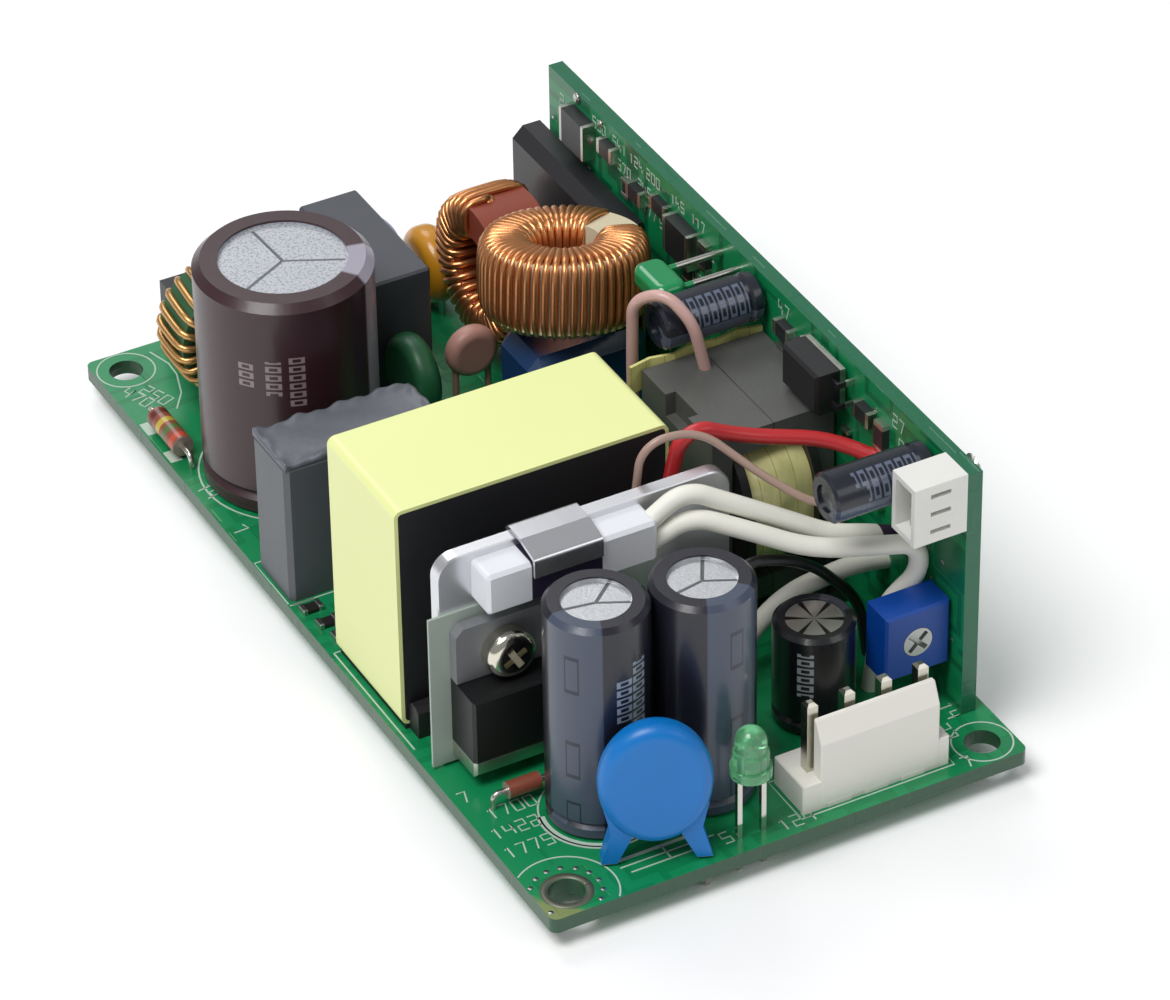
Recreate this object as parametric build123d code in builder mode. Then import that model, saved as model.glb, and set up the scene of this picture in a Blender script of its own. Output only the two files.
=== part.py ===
"""Open frame power supply: a main board with an upright daughter board along its right edge.

Millimetres, Z up, X along the short side, Y along the long side from the output end to the mains
end. The origin is the middle of the board's outline at the level of the lowest solder tips.
"""

from build123d import *
from math import cos, radians, sin, tan
import os

os.makedirs("parts", exist_ok=True)

# Main board
board_width = 50.8
board_length = 101.6
board_thickness = 1.6
board_corner = 0.8
hole_inset = 3.175
hole_diameter = 3.5
tip_height = 2.0
board_top = tip_height + board_thickness
hole_spacing_x = board_width - 2 * hole_inset
hole_spacing_y = board_length - 2 * hole_inset

left_edge = -board_width / 2

# Daughter board, upright on the right with its parts facing the middle
daughter_thickness = 1.6
daughter_margin = 1.2
daughter_length = 81.6
daughter_height = 28.0
daughter_front = -43.2
daughter_face = board_width / 2 - daughter_margin - daughter_thickness
daughter_back = daughter_front + daughter_length
tab_count = 4
tab_length = 4.0
tab_drop = 1.2
slot_clearance = 0.1

# Solder joints and leads
joint_radius = 0.95
joint_tip_radius = 0.4
lead_diameter = 0.7
side_joint_height = 0.8
pitch = 2.54

# Electrolytic capacitors: diameter, height, place on the board
bulk_diameter = 18.0
bulk_height = 25.2
bulk_x = left_edge + 10.8
bulk_y = 24.3
bulk_sleeve = 0.25
bulk_rim = 2.3
bulk_lead_pitch = 7.5
output_diameter = 10.0
output_height = 24.4
output_sleeve = 0.2
output_rim = 1.5
output_lead_pitch = 5.0
output_x = left_edge + 11.5
output_y = -38.5
output_step_x = 10.02
output_step_y = -1.87
small_diameter = 8.0
small_height = 11.5
small_x = daughter_face - 12.0
small_y = -36.0
small_lead_pitch = 3.5
side_1_diameter = 5.0
side_1_length = 11.0
side_1_y = -4.5
side_1_height = daughter_height - 2.6
side_2_diameter = 5.0
side_2_length = 11.0
side_2_y = -36.6
side_2_height = daughter_height - 2.7
side_gap = 0.4
side_lead_pitch = 2.5
can_rim = 1.1
can_recess = 0.25

# Box and dipped parts
film_length = 17.0
film_width = 7.2
film_height = 16.0
film_x = left_edge + 9.0
film_y = 7.4
x_cap_length = 16.6
x_cap_width = 6.6
x_cap_height = 17.0
x_cap_x = left_edge + 24.6
x_cap_y = 34.6
blue_film_length = 13.4
blue_film_width = 8.0
blue_film_x = daughter_face - 11.3
blue_film_y = 12.6
box_lead_inset = 1.2
disc_lead_pitch = 5.0
disc_lead_sink = 0.8
disc_spread = 1.3
yellow_radius = 4.2
yellow_thickness = 3.4
yellow_x = daughter_face - 11.8
yellow_y = 43.2
yellow_height = 4.8
blue_radius = 4.8
blue_thickness = 3.4
blue_x = daughter_face - 19.0
blue_y = 45.6
blue_height = 6.6
thermistor_radius = 4.4
thermistor_thickness = 2.8
thermistor_x = left_edge + 23.1
thermistor_y = 21.2
thermistor_height = 8.7
pink_radius = 2.8
pink_thickness = 2.2
pink_x = daughter_face - 17.2
pink_y = 23.6
pink_height = 7.6
green_length = 3.4
green_width = 5.8
green_thickness = 2.4
green_reach = 9.6
green_y = 1.0
green_height = side_1_height + 0.6
green_lead_pitch = 3.4

# Y capacitor in front of the tall output capacitors
y_cap_width = 10.7
y_cap_height = 13.0
y_cap_thickness = 3.0
y_cap_skirt_thickness = 1.7
y_cap_lead_pitch = 9.2
y_cap_x = left_edge + 12.65
y_cap_y = -47.4
y_cap_turn = -22.0
y_cap_lean = 3.0
y_cap_foot_gap = 0.25

# Wound chokes: outside radius with wire, bore with wire, height with wire
wire_diameter = 0.75
flat_radius = 8.65
flat_bore = 2.8
flat_height = 8.8
flat_x = blue_film_x
flat_y = 14.4
flat_level = 20.6
flat_lean = (-10.6, 5.5, 0)
flat_drop = 5.75
flat_turns = 48
flat_cover = 322.0
flat_start = 28.0
flat_leads = [
    (flat_x + 6.2, flat_y + 4.2, flat_level - 4.8),
    (flat_x + 7.2, flat_y - 2.6, flat_level - 4.1),
]
upright_radius = 8.3
upright_bore = 3.4
upright_width = 8.2
upright_x = daughter_face - 9.3
upright_y = 31.8
upright_foot = 2.4
upright_turns = 34
upright_cover = 315.0
upright_start = 40.0
upright_lead_pitch = 5.0
line_radius = 7.2
line_bore = 2.6
line_width = 7.0
line_x = left_edge + 11.2
line_y = 39.0
line_foot = 1.3
line_turns = 11
line_cover = 150.0
line_lead_x = 2.3
line_lead_y = 2.2
turn_depth = 0.35
turn_gap_share = 0.3

# PFC choke: sealed block with a tape band and a base with feet
pfc_length = 29.0
pfc_width = 13.9
pfc_height = 25.5
pfc_x = left_edge + 15.3
pfc_y = -12.35
pfc_tape = 0.4
pfc_band_inset = 0.05
pfc_corner = 0.8
pfc_base = 0.6
pfc_foot_length = 3.2
pfc_foot_reach = 1.9
pfc_foot_height = 3.4
pfc_foot_inset = 0.4

# Transformer: two E shaped ferrite halves on a bobbin with a taped winding
core_length = 13.4
core_width = 13.8
core_top = 22.0
core_foot = 1.6
core_leg = 2.5
core_back = 2.2
core_post_radius = 3.6
core_x = daughter_face - 7.1
core_y = -12.9
bobbin_clearance = 0.15
bobbin_wall = 0.8
bobbin_flange = 0.9
bobbin_flange_radius = 9.7
bobbin_rail_reach = 0.25
winding_margin = 0.25
tape_thickness = 0.35
tape_rise = 0.6
tape_overhang = 1.2
notch_depth = 1.1
notch_width = 4.4

# Heatsink plate, sheet, transistor, screw, cut-out and clip
plate_thickness = 1.5
plate_left = left_edge + 1.8
plate_right = plate_left + 33.6
plate_height = 23.6
plate_front = -25.8
plate_corner = 2.2
sheet_thickness = 0.3
sheet_left = left_edge + 0.6
sheet_right = sheet_left + 13.2
sheet_bottom = 0.4
sheet_top = 17.6
transistor_width = 10.2
transistor_x = left_edge + 7.8
tab_thickness = 1.3
transistor_depth = 4.5
transistor_bottom = 1.4
transistor_body_height = 8.8
transistor_top = 16.4
transistor_lead_width = 0.8
transistor_lead_thickness = 0.5
transistor_lead_setback = 2.4
screw_height = 12.9
screw_diameter = 3.0
screw_fit = 0.05
screw_head_radius = 2.55
screw_head_height = 2.1
screw_tail = 1.6
tab_hole_diameter = 3.6
cutout_left = plate_left + 3.5
cutout_right = cutout_left + 17.9
cutout_depth = 3.3
cutout_bottom = 18.3
cutout_top = 22.8
clip_left = cutout_left + 4.7
clip_width = 7.2
clip_thickness = 0.4
clip_gap = 0.05
clip_flap = 1.5
clip_tongue = 6.0

# Bridge rectifier beside the daughter board
bridge_length = 21.8
bridge_thickness = 3.2
bridge_gap = 0.3
bridge_bottom = 2.6
bridge_top = 20.6
bridge_back = 40.0
bridge_bevel = 1.2
bridge_lead_width = 1.3
bridge_lead_thickness = 0.6

# Optocoupler on the daughter board
opto_length = 6.6
opto_width = 4.5
opto_depth = 3.2
opto_standoff = 0.4
opto_y = -18.4
opto_height = daughter_height - 3.15
opto_lead_width = 0.6
opto_lead_thickness = 0.3
opto_lead_reach = 1.1

# Trimmer potentiometer on the daughter board, rotor facing the output end
trimmer_width = 7.0
trimmer_depth = 3.6
trimmer_height = 7.4
trimmer_standoff = 0.3
trimmer_front = -41.3
trimmer_bottom = 5.2
rotor_radius = 1.55
rotor_clearance = 0.05
rotor_depth = 0.9
wiper_radius = 2.2
wiper_thickness = 0.7
slot_width = 0.5
slot_depth = 0.6
slot_length = 2.6
slot_turn = 45.0

# Output header with friction lock wall, and its pins
header_pitch = 3.96
header_ways = 4
header_left = daughter_face - 20.6
header_front = -48.9
header_depth = 5.5
header_base = 3.3
header_wall = 9.7
header_wall_thickness = 1.5
header_wall_inset = 0.5
header_bevel = 1.1
header_notch_width = 1.2
header_notch_depth = 0.35
pin_width = 1.14
pin_top = 11.1
pin_back = 2.4
pin_chamfer = 0.3
pin_fit = 0.03

# Fan header on the daughter board
fan_pitch = 2.0
fan_ways = 3
fan_length = 6.5
fan_depth = 4.0
fan_reach = 5.7
fan_top = daughter_height + 0.2
fan_wall = 0.6
fan_cavity = 3.6
fan_slot_length = 2.2
fan_slot_width = 0.5
fan_pin = 0.5
fan_pin_reach = 4.8

# Mains input header and fuse at the back
inlet_length = 11.9
inlet_depth = 6.6
inlet_height = 7.8
inlet_x = left_edge + 14.6
inlet_y = 46.9
inlet_wall = 1.1
inlet_floor = 2.2
inlet_pitch = 3.96
fuse_radius = 1.2
fuse_length = 7.2
fuse_x = daughter_face - 9.4
fuse_y = 48.9
fuse_height = 1.45
fuse_lead_pitch = 10.0

# Light emitting diode
led_x = left_edge + 21.9
led_y = -48.7
led_bottom = 7.2
led_collar_radius = 2.0
led_collar_height = 1.0
led_body_radius = 1.75
led_step_height = 2.6
led_dome_radius = 1.55
led_height = 5.3
led_flat = 1.75
led_lead_width = 0.5

# Resistors lying on the board
resistor_radius = 1.15
resistor_length = 6.0
resistor_end = 1.4
resistor_end_radius = 1.35
resistor_x = left_edge + 1.65
resistor_y = 33.6
resistor_pitch = 9.6
resistor_height = 1.6
bead_radius = 0.85
bead_length = 3.4
bead_x = left_edge + 6.0
bead_y = -33.8
bead_pitch = 6.2
resistor_lead = 0.6

# Flying leads
sleeve_diameter = 1.9
red_diameter = 1.5
pink_diameter = 1.2
black_diameter = 1.1
tan_diameter = 0.8


def finish(builder, label):
    """Label a finished sub-part and write it as one file."""
    builder.part.label = label
    export_step(builder.part, f"parts/{label}.step")


def upright(x, y, height=0.0):
    """Level plane above the board at this place, height measured from the board's top."""
    return Plane((x, y, board_top + height))


def across(x):
    """Plane at right angles to X: its x runs along Y and its y is height above the board."""
    return Plane((x, 0, board_top), x_dir=(0, 1, 0), z_dir=(1, 0, 0))


def facing(y):
    """Plane facing the output end: its x runs along X and its y is height above the board."""
    return Plane((0, y, board_top), x_dir=(1, 0, 0), z_dir=(0, -1, 0))


def half_section(origin, axis, side):
    """Plane through an axis: its x leads away from the axis and its y runs along it."""
    return Plane(origin, x_dir=side, z_dir=Vector(side).cross(Vector(axis)))


def can_wall(radius, height, rim, groove):
    """Half outline of a can's wall, from the foot past the crimp groove to the rolled rim."""
    edge = 0.08 * radius + 0.1
    foot = 2 * groove + 0.5
    return [
        (radius, 0.4),
        (radius, foot),
        (radius - groove, foot + groove),
        (radius, foot + 2 * groove),
        (radius, height - edge),
        (radius - edge, height),
        (radius - rim, height),
    ]


def can(origin, axis, side, radius, height, rim, groove):
    """Aluminium can with a rubber bung level with its foot and a sunk vent disc on top."""
    wall = can_wall(radius, height, rim, groove)
    with BuildSketch(half_section(origin, axis, side)) as outline:
        Polygon(
            (0, 0),
            (radius - 0.4, 0),
            *wall,
            (radius - rim, height - can_recess),
            (0, height - can_recess),
        )
    revolve(outline.sketch, axis=Axis(origin, axis))


def sleeve(origin, axis, side, radius, height, rim, groove, thickness):
    """Shrunk sleeve that follows the can from its foot over the rolled edge."""
    inner = can_wall(radius, height, rim, groove)
    outer = can_wall(radius + thickness, height + thickness, rim + thickness, groove)
    with BuildSketch(half_section(origin, axis, side)) as outline:
        Polygon(*inner, *reversed(outer))
    revolve(outline.sketch, axis=Axis(origin, axis))


def lens(plane, radius, thickness, bulge):
    """Dipped disc centred on its plane: a flat disc with well rounded edges."""
    with BuildSketch(plane) as outline:
        Circle(radius)
    extrude(outline.sketch, amount=thickness / 2, both=True)
    rims = edges().filter_by(GeomType.CIRCLE).filter_by(lambda e: abs(e.radius - radius) < 1e-6)
    fillet(rims, bulge)


def dipped_disc(x, y, height, radius, thickness, along_x):
    """Dipped disc on two straight leads that stand on the board."""
    normal = (0, 1, 0) if along_x else (1, 0, 0)
    reach = (1, 0) if along_x else (0, 1)
    half = min(disc_lead_pitch, disc_spread * radius) / 2
    with BuildPart() as body:
        lens(Plane((x, y, board_top + height), z_dir=normal), radius, thickness, 0.42 * thickness)
        sink = height - (radius**2 - half**2) ** 0.5 + disc_lead_sink
        for way in (-1, 1):
            with BuildSketch(upright(x + way * half * reach[0], y + way * half * reach[1])):
                Circle(lead_diameter / 2)
            extrude(amount=sink)
    return body


def box_part(x, y, length_x, length_y, height, edge):
    """Moulded box that stands on the board with softened upright and top edges."""
    with BuildPart() as body:
        with BuildSketch(upright(x, y)):
            Rectangle(length_x, length_y)
        extrude(amount=height)
        chamfer(edges().filter_by(Axis.Z) + edges().group_by(Axis.Z)[-1], edge)
    return body


def turn_section(seat, angle):
    """Half section plane of a ring at this angle from the seat's x direction."""
    out = seat.x_dir * cos(radians(angle)) + seat.y_dir * sin(radians(angle))
    return half_section(seat.origin, seat.z_dir, out)


def ring_core(seat, outer, bore, height):
    """Plain ring core centred on its seat."""
    with BuildPart() as body:
        with BuildSketch(seat):
            Circle(outer)
            Circle(bore, mode=Mode.SUBTRACT)
        extrude(amount=height / 2, both=True)
    return body


def ring_winding(seat, outer, bore, height, starts, turns, cover, leads):
    """Single layer winding with a ridge for each turn, and the leads that hold the choke."""
    axis = Axis(seat.origin, seat.z_dir)
    step = cover / turns
    half = height / 2
    bend = 1.2
    loop = [
        (bore, -half),
        (outer - bend, -half),
        (outer, bend - half),
        (outer, half - bend),
        (outer - bend, half),
        (bore, half),
    ]
    low = half - turn_depth
    over = half + turn_depth / 10
    near = bore + turn_depth
    groove = [
        (near, over),
        (outer + turn_depth / 10, over),
        (outer + turn_depth / 10, -over),
        (near, -over),
        (near, -low),
        (outer - bend - turn_depth / 2, -low),
        (outer - turn_depth, bend - half),
        (outer - turn_depth, half - bend),
        (outer - bend - turn_depth / 2, low),
        (near, low),
    ]
    with BuildPart() as grooves:
        for start in starts:
            for turn in range(1, turns):
                angle = start + step * (turn - turn_gap_share / 2)
                with BuildSketch(turn_section(seat, angle)):
                    Polygon(*groove, align=None)
        revolve(axis=axis, revolution_arc=step * turn_gap_share)
    with BuildPart() as body:
        for start in starts:
            with BuildSketch(turn_section(seat, start)):
                Polygon(*loop, align=None)
                with Locations(((outer + bore) / 2, 0)):
                    core_span = outer - bore - 2 * wire_diameter
                    Rectangle(core_span, height - 2 * wire_diameter, mode=Mode.SUBTRACT)
        revolve(axis=axis, revolution_arc=cover)
        for x, y, top in leads:
            with BuildSketch(upright(x, y)):
                Circle(wire_diameter / 2)
            extrude(amount=top)
        add(grooves.part, mode=Mode.SUBTRACT)
    return body


def cord(points, diameter, meets):
    """Round lead of straight runs and tangent arcs, cut flush with the pieces that it meets."""
    steps = [Vector(b) - Vector(a) for a, b in zip(points, points[1:])]
    radii = []
    for before, after in zip(steps, steps[1:]):
        turn = before.get_angle(after)
        radii.append(0.45 * min(before.length, after.length) / tan(radians(turn / 2)))
    with BuildPart() as body:
        with BuildLine():
            route = FilletPolyline(*points, radius=radii)
        with BuildSketch(Plane(route @ 0, z_dir=route % 0)):
            Circle(diameter / 2)
        sweep()
        for piece in meets:
            add(piece.part, mode=Mode.SUBTRACT)
    print("length", round(route.length, 1), "radii", [round(r, 1) for r in radii])
    return body


# Main board with its mounting holes and the slots of the daughter board's tabs
tab_step = (daughter_length - 4 * tab_length) / (tab_count - 1)
tab_places = [daughter_front + 2 * tab_length + i * tab_step for i in range(tab_count)]
with BuildPart() as main_board:
    with BuildSketch(Plane.XY.offset(tip_height)):
        RectangleRounded(board_width, board_length, board_corner)
        with GridLocations(hole_spacing_x, hole_spacing_y, 2, 2):
            Circle(hole_diameter / 2, mode=Mode.SUBTRACT)
        with Locations(*[(daughter_face + daughter_thickness / 2, y) for y in tab_places]):
            Rectangle(
                daughter_thickness + 2 * slot_clearance,
                tab_length + 2 * slot_clearance,
                mode=Mode.SUBTRACT,
            )
    extrude(amount=board_thickness)
finish(main_board, "main_board")

# Daughter board with tabs through the main board
tab_reach = board_thickness + tab_drop
with BuildPart() as daughter_board:
    with BuildSketch(across(daughter_face)):
        with Locations(((daughter_front + daughter_back) / 2, 0)):
            Rectangle(daughter_length, daughter_height, align=(Align.CENTER, Align.MIN))
        with Locations(*[(y, 0) for y in tab_places]):
            Rectangle(tab_length, tab_reach, align=(Align.CENTER, Align.MAX))
    extrude(amount=daughter_thickness)
finish(daughter_board, "daughter_board")

# Bulk capacitor
bulk_can_radius = bulk_diameter / 2 - bulk_sleeve
bulk_can_height = bulk_height - bulk_sleeve
bulk_groove = 0.6
bulk_foot = (bulk_x, bulk_y, board_top)
bulk_form = (bulk_can_radius, bulk_can_height, bulk_rim, bulk_groove)
with BuildPart() as bulk_capacitor_can:
    can(bulk_foot, (0, 0, 1), (1, 0, 0), *bulk_form)
finish(bulk_capacitor_can, "bulk_capacitor_can")
with BuildPart() as bulk_capacitor_sleeve:
    sleeve(bulk_foot, (0, 0, 1), (1, 0, 0), *bulk_form, bulk_sleeve)
finish(bulk_capacitor_sleeve, "bulk_capacitor_sleeve")

# Two tall output capacitors side by side
output_places = [(output_x + i * output_step_x, output_y + i * output_step_y) for i in (0, 1)]
output_groove = 0.4
output_form = (
    output_diameter / 2 - output_sleeve,
    output_height - output_sleeve,
    output_rim,
    output_groove,
)
for number, (x, y) in enumerate(output_places, 1):
    foot = (x, y, board_top)
    with BuildPart() as output_can:
        can(foot, (0, 0, 1), (1, 0, 0), *output_form)
    finish(output_can, f"output_capacitor_can_{number}")
    with BuildPart() as output_wrap:
        sleeve(foot, (0, 0, 1), (1, 0, 0), *output_form, output_sleeve)
    finish(output_wrap, f"output_capacitor_sleeve_{number}")

# Small output capacitor
small_groove = 0.35
small_foot = (small_x, small_y, board_top)
small_form = (small_diameter / 2, small_height, can_rim, small_groove)
with BuildPart() as small_output_capacitor:
    can(small_foot, (0, 0, 1), (1, 0, 0), *small_form)
finish(small_output_capacitor, "small_output_capacitor")

# Two capacitors that lie on their leads against the daughter board
side_capacitors = [
    (side_1_diameter, side_1_length, side_1_y, side_1_height),
    (side_2_diameter, side_2_length, side_2_y, side_2_height),
]
for number, (diameter, length, y, height) in enumerate(side_capacitors, 1):
    foot = (daughter_face - side_gap, y, board_top + height)
    with BuildPart() as lying:
        can(foot, (-1, 0, 0), (0, 0, 1), diameter / 2, length, can_rim, small_groove)
        with BuildSketch(across(daughter_face)):
            with Locations((y, height)), GridLocations(side_lead_pitch, 0, 2, 1):
                Circle(lead_diameter / 2)
        extrude(amount=-side_gap)
    finish(lying, f"side_capacitor_{number}")

# Moulded and dipped capacitors on the board
film_capacitor = box_part(film_x, film_y, film_length, film_width, film_height, 0.5)
finish(film_capacitor, "film_capacitor")
x_capacitor = box_part(x_cap_x, x_cap_y, x_cap_width, x_cap_length, x_cap_height, 0.25)
finish(x_capacitor, "x_capacitor")
blue_film_height = flat_level - flat_drop
blue_film_capacitor = box_part(
    blue_film_x, blue_film_y, blue_film_length, blue_film_width, blue_film_height, 1.3
)
finish(blue_film_capacitor, "blue_film_capacitor")

# Disc parts on leads
yellow_varistor = dipped_disc(
    yellow_x, yellow_y, yellow_height, yellow_radius, yellow_thickness, False
)
finish(yellow_varistor, "yellow_varistor")
blue_varistor = dipped_disc(blue_x, blue_y, blue_height, blue_radius, blue_thickness, True)
finish(blue_varistor, "blue_varistor")
green_thermistor = dipped_disc(
    thermistor_x,
    thermistor_y,
    thermistor_height,
    thermistor_radius,
    thermistor_thickness,
    False,
)
finish(green_thermistor, "green_thermistor")
pink_disc_capacitor = dipped_disc(pink_x, pink_y, pink_height, pink_radius, pink_thickness, True)
finish(pink_disc_capacitor, "pink_disc_capacitor")

# Green dipped capacitor held off the daughter board on two long leads
green_x = daughter_face - green_reach + green_length / 2
with BuildPart() as green_film_capacitor:
    with BuildSketch(upright(green_x, green_y, green_height)):
        RectangleRounded(green_length, green_width, 1.2)
    extrude(amount=green_thickness / 2, both=True)
    fillet(edges().group_by(Axis.Z)[-1] + edges().group_by(Axis.Z)[0], 0.8)
    with BuildSketch(across(daughter_face)):
        with Locations((green_y, green_height)), GridLocations(green_lead_pitch, 0, 2, 1):
            Circle(lead_diameter / 2)
    extrude(amount=-(green_reach - green_length / 2))
finish(green_film_capacitor, "green_film_capacitor")

# Y capacitor: oval coated disc that narrows to a coated skirt on each lead
turn = radians(y_cap_turn)
lean = radians(y_cap_lean)
y_cap_up = Vector(-sin(turn) * sin(lean), cos(turn) * sin(lean), cos(lean))
y_cap_side = Vector(cos(turn), sin(turn), 0)
y_cap_plane = Plane(
    (y_cap_x, y_cap_y, board_top + y_cap_foot_gap),
    x_dir=y_cap_side,
    z_dir=y_cap_side.cross(y_cap_up),
)
y_cap_centre = 2.1 + y_cap_height / 2
half_pitch = y_cap_lead_pitch / 2
with BuildPart() as y_capacitor:
    with BuildSketch(y_cap_plane):
        with Locations((0, y_cap_centre)):
            Ellipse(y_cap_width / 2, y_cap_height / 2)
    extrude(amount=y_cap_thickness / 2, both=True)
    fillet(edges().filter_by(GeomType.ELLIPSE), 0.42 * y_cap_thickness)
    with BuildSketch(y_cap_plane):
        for way in (-1, 1):
            Polygon(
                (way * (half_pitch + 0.6), 0),
                (way * (half_pitch - 0.9), 0),
                (way * (half_pitch - 2.6), 3.4),
                (way * (half_pitch - 2.6), 6.2),
                (way * (half_pitch + 0.3), 6.2),
                (way * (half_pitch - 0.35), 3.4),
            )
    extrude(amount=y_cap_skirt_thickness / 2, both=True)
    for way in (-1, 1):
        foot = y_cap_plane.from_local_coords((way * (half_pitch - 0.15), 0.2, 0))
        with BuildSketch(Plane((foot.X, foot.Y, board_top))):
            Circle(lead_diameter / 2)
        extrude(amount=2 * y_cap_foot_gap + 0.4)
finish(y_capacitor, "y_capacitor")

# Flat choke lying on the blue film capacitor
flat_seat = upright(flat_x, flat_y, flat_level).rotated(flat_lean)
flat_choke_core = ring_core(
    flat_seat,
    flat_radius - wire_diameter,
    flat_bore + wire_diameter,
    flat_height - 2 * wire_diameter,
)
finish(flat_choke_core, "flat_choke_core")
flat_choke_winding = ring_winding(
    flat_seat,
    flat_radius,
    flat_bore,
    flat_height,
    [flat_start],
    flat_turns,
    flat_cover,
    flat_leads,
)
finish(flat_choke_winding, "flat_choke_winding")

# Upright choke with its axis along X
upright_seat = Plane(
    (upright_x, upright_y, board_top + upright_radius + upright_foot),
    x_dir=(0, 0, 1),
    z_dir=(1, 0, 0),
)
upright_leads = [
    (upright_x + way * upright_lead_pitch / 2, upright_y, upright_foot + 0.9 * wire_diameter)
    for way in (-1, 1)
]
upright_choke_core = ring_core(
    upright_seat,
    upright_radius - wire_diameter,
    upright_bore + wire_diameter,
    upright_width - 2 * wire_diameter,
)
finish(upright_choke_core, "upright_choke_core")
upright_choke_winding = ring_winding(
    upright_seat,
    upright_radius,
    upright_bore,
    upright_width,
    [upright_start],
    upright_turns,
    upright_cover,
    upright_leads,
)
finish(upright_choke_winding, "upright_choke_winding")

# Line choke with its axis along Y and a winding on each side
line_seat = Plane(
    (line_x, line_y, board_top + line_radius + line_foot), x_dir=(1, 0, 0), z_dir=(0, -1, 0)
)
line_leads = [
    (line_x + side * line_lead_x, line_y + end * line_lead_y, line_foot + wire_diameter)
    for side in (-1, 1)
    for end in (-1, 1)
]
line_choke_core = ring_core(
    line_seat,
    line_radius - wire_diameter,
    line_bore + wire_diameter,
    line_width - 2 * wire_diameter,
)
finish(line_choke_core, "line_choke_core")
line_choke_windings = ring_winding(
    line_seat,
    line_radius,
    line_bore,
    line_width,
    [-line_cover / 2, 180 - line_cover / 2],
    line_turns,
    line_cover,
    line_leads,
)
finish(line_choke_windings, "line_choke_windings")

# PFC choke: base with feet, sealed block and the tape band around it
pfc_block_height = pfc_height - pfc_base - 2 * pfc_tape
with BuildPart() as pfc_choke_base:
    with BuildSketch(upright(pfc_x, pfc_y)):
        Rectangle(pfc_length - 2 * pfc_tape, pfc_width - 2 * pfc_band_inset)
    extrude(amount=pfc_base)
    foot_x = pfc_length / 2 - pfc_tape - pfc_foot_inset - pfc_foot_length / 2
    foot_y = pfc_width / 2 + pfc_foot_reach / 2
    with BuildSketch(upright(pfc_x, pfc_y)):
        with GridLocations(2 * foot_x, 2 * foot_y, 2, 2):
            Rectangle(pfc_foot_length, pfc_foot_reach)
    extrude(amount=pfc_foot_height)
    with BuildSketch(upright(pfc_x, pfc_y)):
        with GridLocations(2 * foot_x, 2 * foot_y - pfc_foot_reach, 2, 2):
            Rectangle(pfc_foot_length, pfc_foot_reach)
    extrude(amount=pfc_base)
    chamfer(edges().group_by(Axis.Z)[-1].filter_by(Axis.X), 0.5)
finish(pfc_choke_base, "pfc_choke_base")
block_middle = pfc_base + pfc_tape + pfc_block_height / 2
with BuildPart() as pfc_choke_body:
    with BuildSketch(facing(pfc_y)):
        with Locations((pfc_x, block_middle)):
            RectangleRounded(
                pfc_length - 2 * pfc_tape, pfc_block_height, pfc_corner - pfc_tape
            )
    extrude(amount=pfc_width / 2, both=True)
finish(pfc_choke_body, "pfc_choke_body")
with BuildPart() as pfc_choke_tape:
    with BuildSketch(facing(pfc_y)):
        with Locations((pfc_x, block_middle)):
            RectangleRounded(pfc_length, pfc_block_height + 2 * pfc_tape, pfc_corner)
            RectangleRounded(
                pfc_length - 2 * pfc_tape,
                pfc_block_height,
                pfc_corner - pfc_tape,
                mode=Mode.SUBTRACT,
            )
    extrude(amount=pfc_width / 2 - pfc_band_inset, both=True)
finish(pfc_choke_tape, "pfc_choke_tape")

# Transformer core: back plate, top and bottom legs and half of the round middle post
core_height = core_top - core_foot
core_middle = (core_top + core_foot) / 2
window = core_height - 2 * core_leg
core_halves = []
for side, way in (("left", -1), ("right", 1)):
    end = core_x + way * core_length / 2
    with BuildPart() as core_half:
        with BuildSketch(across(end)):
            with Locations((core_y, core_middle)):
                Rectangle(core_width, core_height)
        extrude(amount=-way * core_back)
        with BuildSketch(across(end - way * core_back)):
            with Locations((core_y, core_middle)):
                Rectangle(core_width, core_height)
                Rectangle(core_width, window, mode=Mode.SUBTRACT)
                Circle(core_post_radius)
        extrude(amount=-way * (core_length / 2 - core_back))
        if way < 0:
            with BuildSketch(upright(end, core_y, core_top)):
                Rectangle(2 * notch_depth, notch_width)
            extrude(amount=-core_leg, mode=Mode.SUBTRACT)
    finish(core_half, f"transformer_core_{side}")
    core_halves.append(core_half)

# Bobbin: tube on the middle post, flanges, and rails on the board under both ends
bobbin_bore = core_post_radius + bobbin_clearance
tube_radius = bobbin_bore + bobbin_wall
bobbin_half = core_length / 2 - core_back - bobbin_clearance
rail_end = core_length / 2 + bobbin_rail_reach
flange_window = window - 2 * bobbin_clearance
leg_inner = core_width / 2 + bobbin_clearance
with BuildPart() as transformer_bobbin:
    with BuildSketch(across(core_x)):
        with Locations((core_y, core_middle)):
            Circle(tube_radius)
            Circle(bobbin_bore, mode=Mode.SUBTRACT)
    extrude(amount=bobbin_half, both=True)
    for way in (-1, 1):
        with BuildSketch(across(core_x + way * bobbin_half)):
            with Locations((core_y, core_middle)):
                Circle(bobbin_flange_radius)
                Rectangle(
                    2 * bobbin_flange_radius, flange_window, mode=Mode.INTERSECT
                )
            with Locations((core_y, 0)):
                Rectangle(
                    2 * bobbin_flange_radius, core_middle, align=(Align.CENTER, Align.MIN)
                )
                Rectangle(
                    2 * leg_inner,
                    core_foot + core_leg + bobbin_clearance,
                    align=(Align.CENTER, Align.MIN),
                    mode=Mode.SUBTRACT,
                )
            with Locations((core_y, core_middle)):
                Circle(bobbin_bore, mode=Mode.SUBTRACT)
        extrude(amount=-way * bobbin_flange)
        rail_middle = core_x + way * (rail_end + bobbin_half - bobbin_flange) / 2
        with BuildSketch(upright(rail_middle, core_y)):
            Rectangle(rail_end - bobbin_half + bobbin_flange, 2 * bobbin_flange_radius)
        extrude(amount=core_foot)
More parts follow.
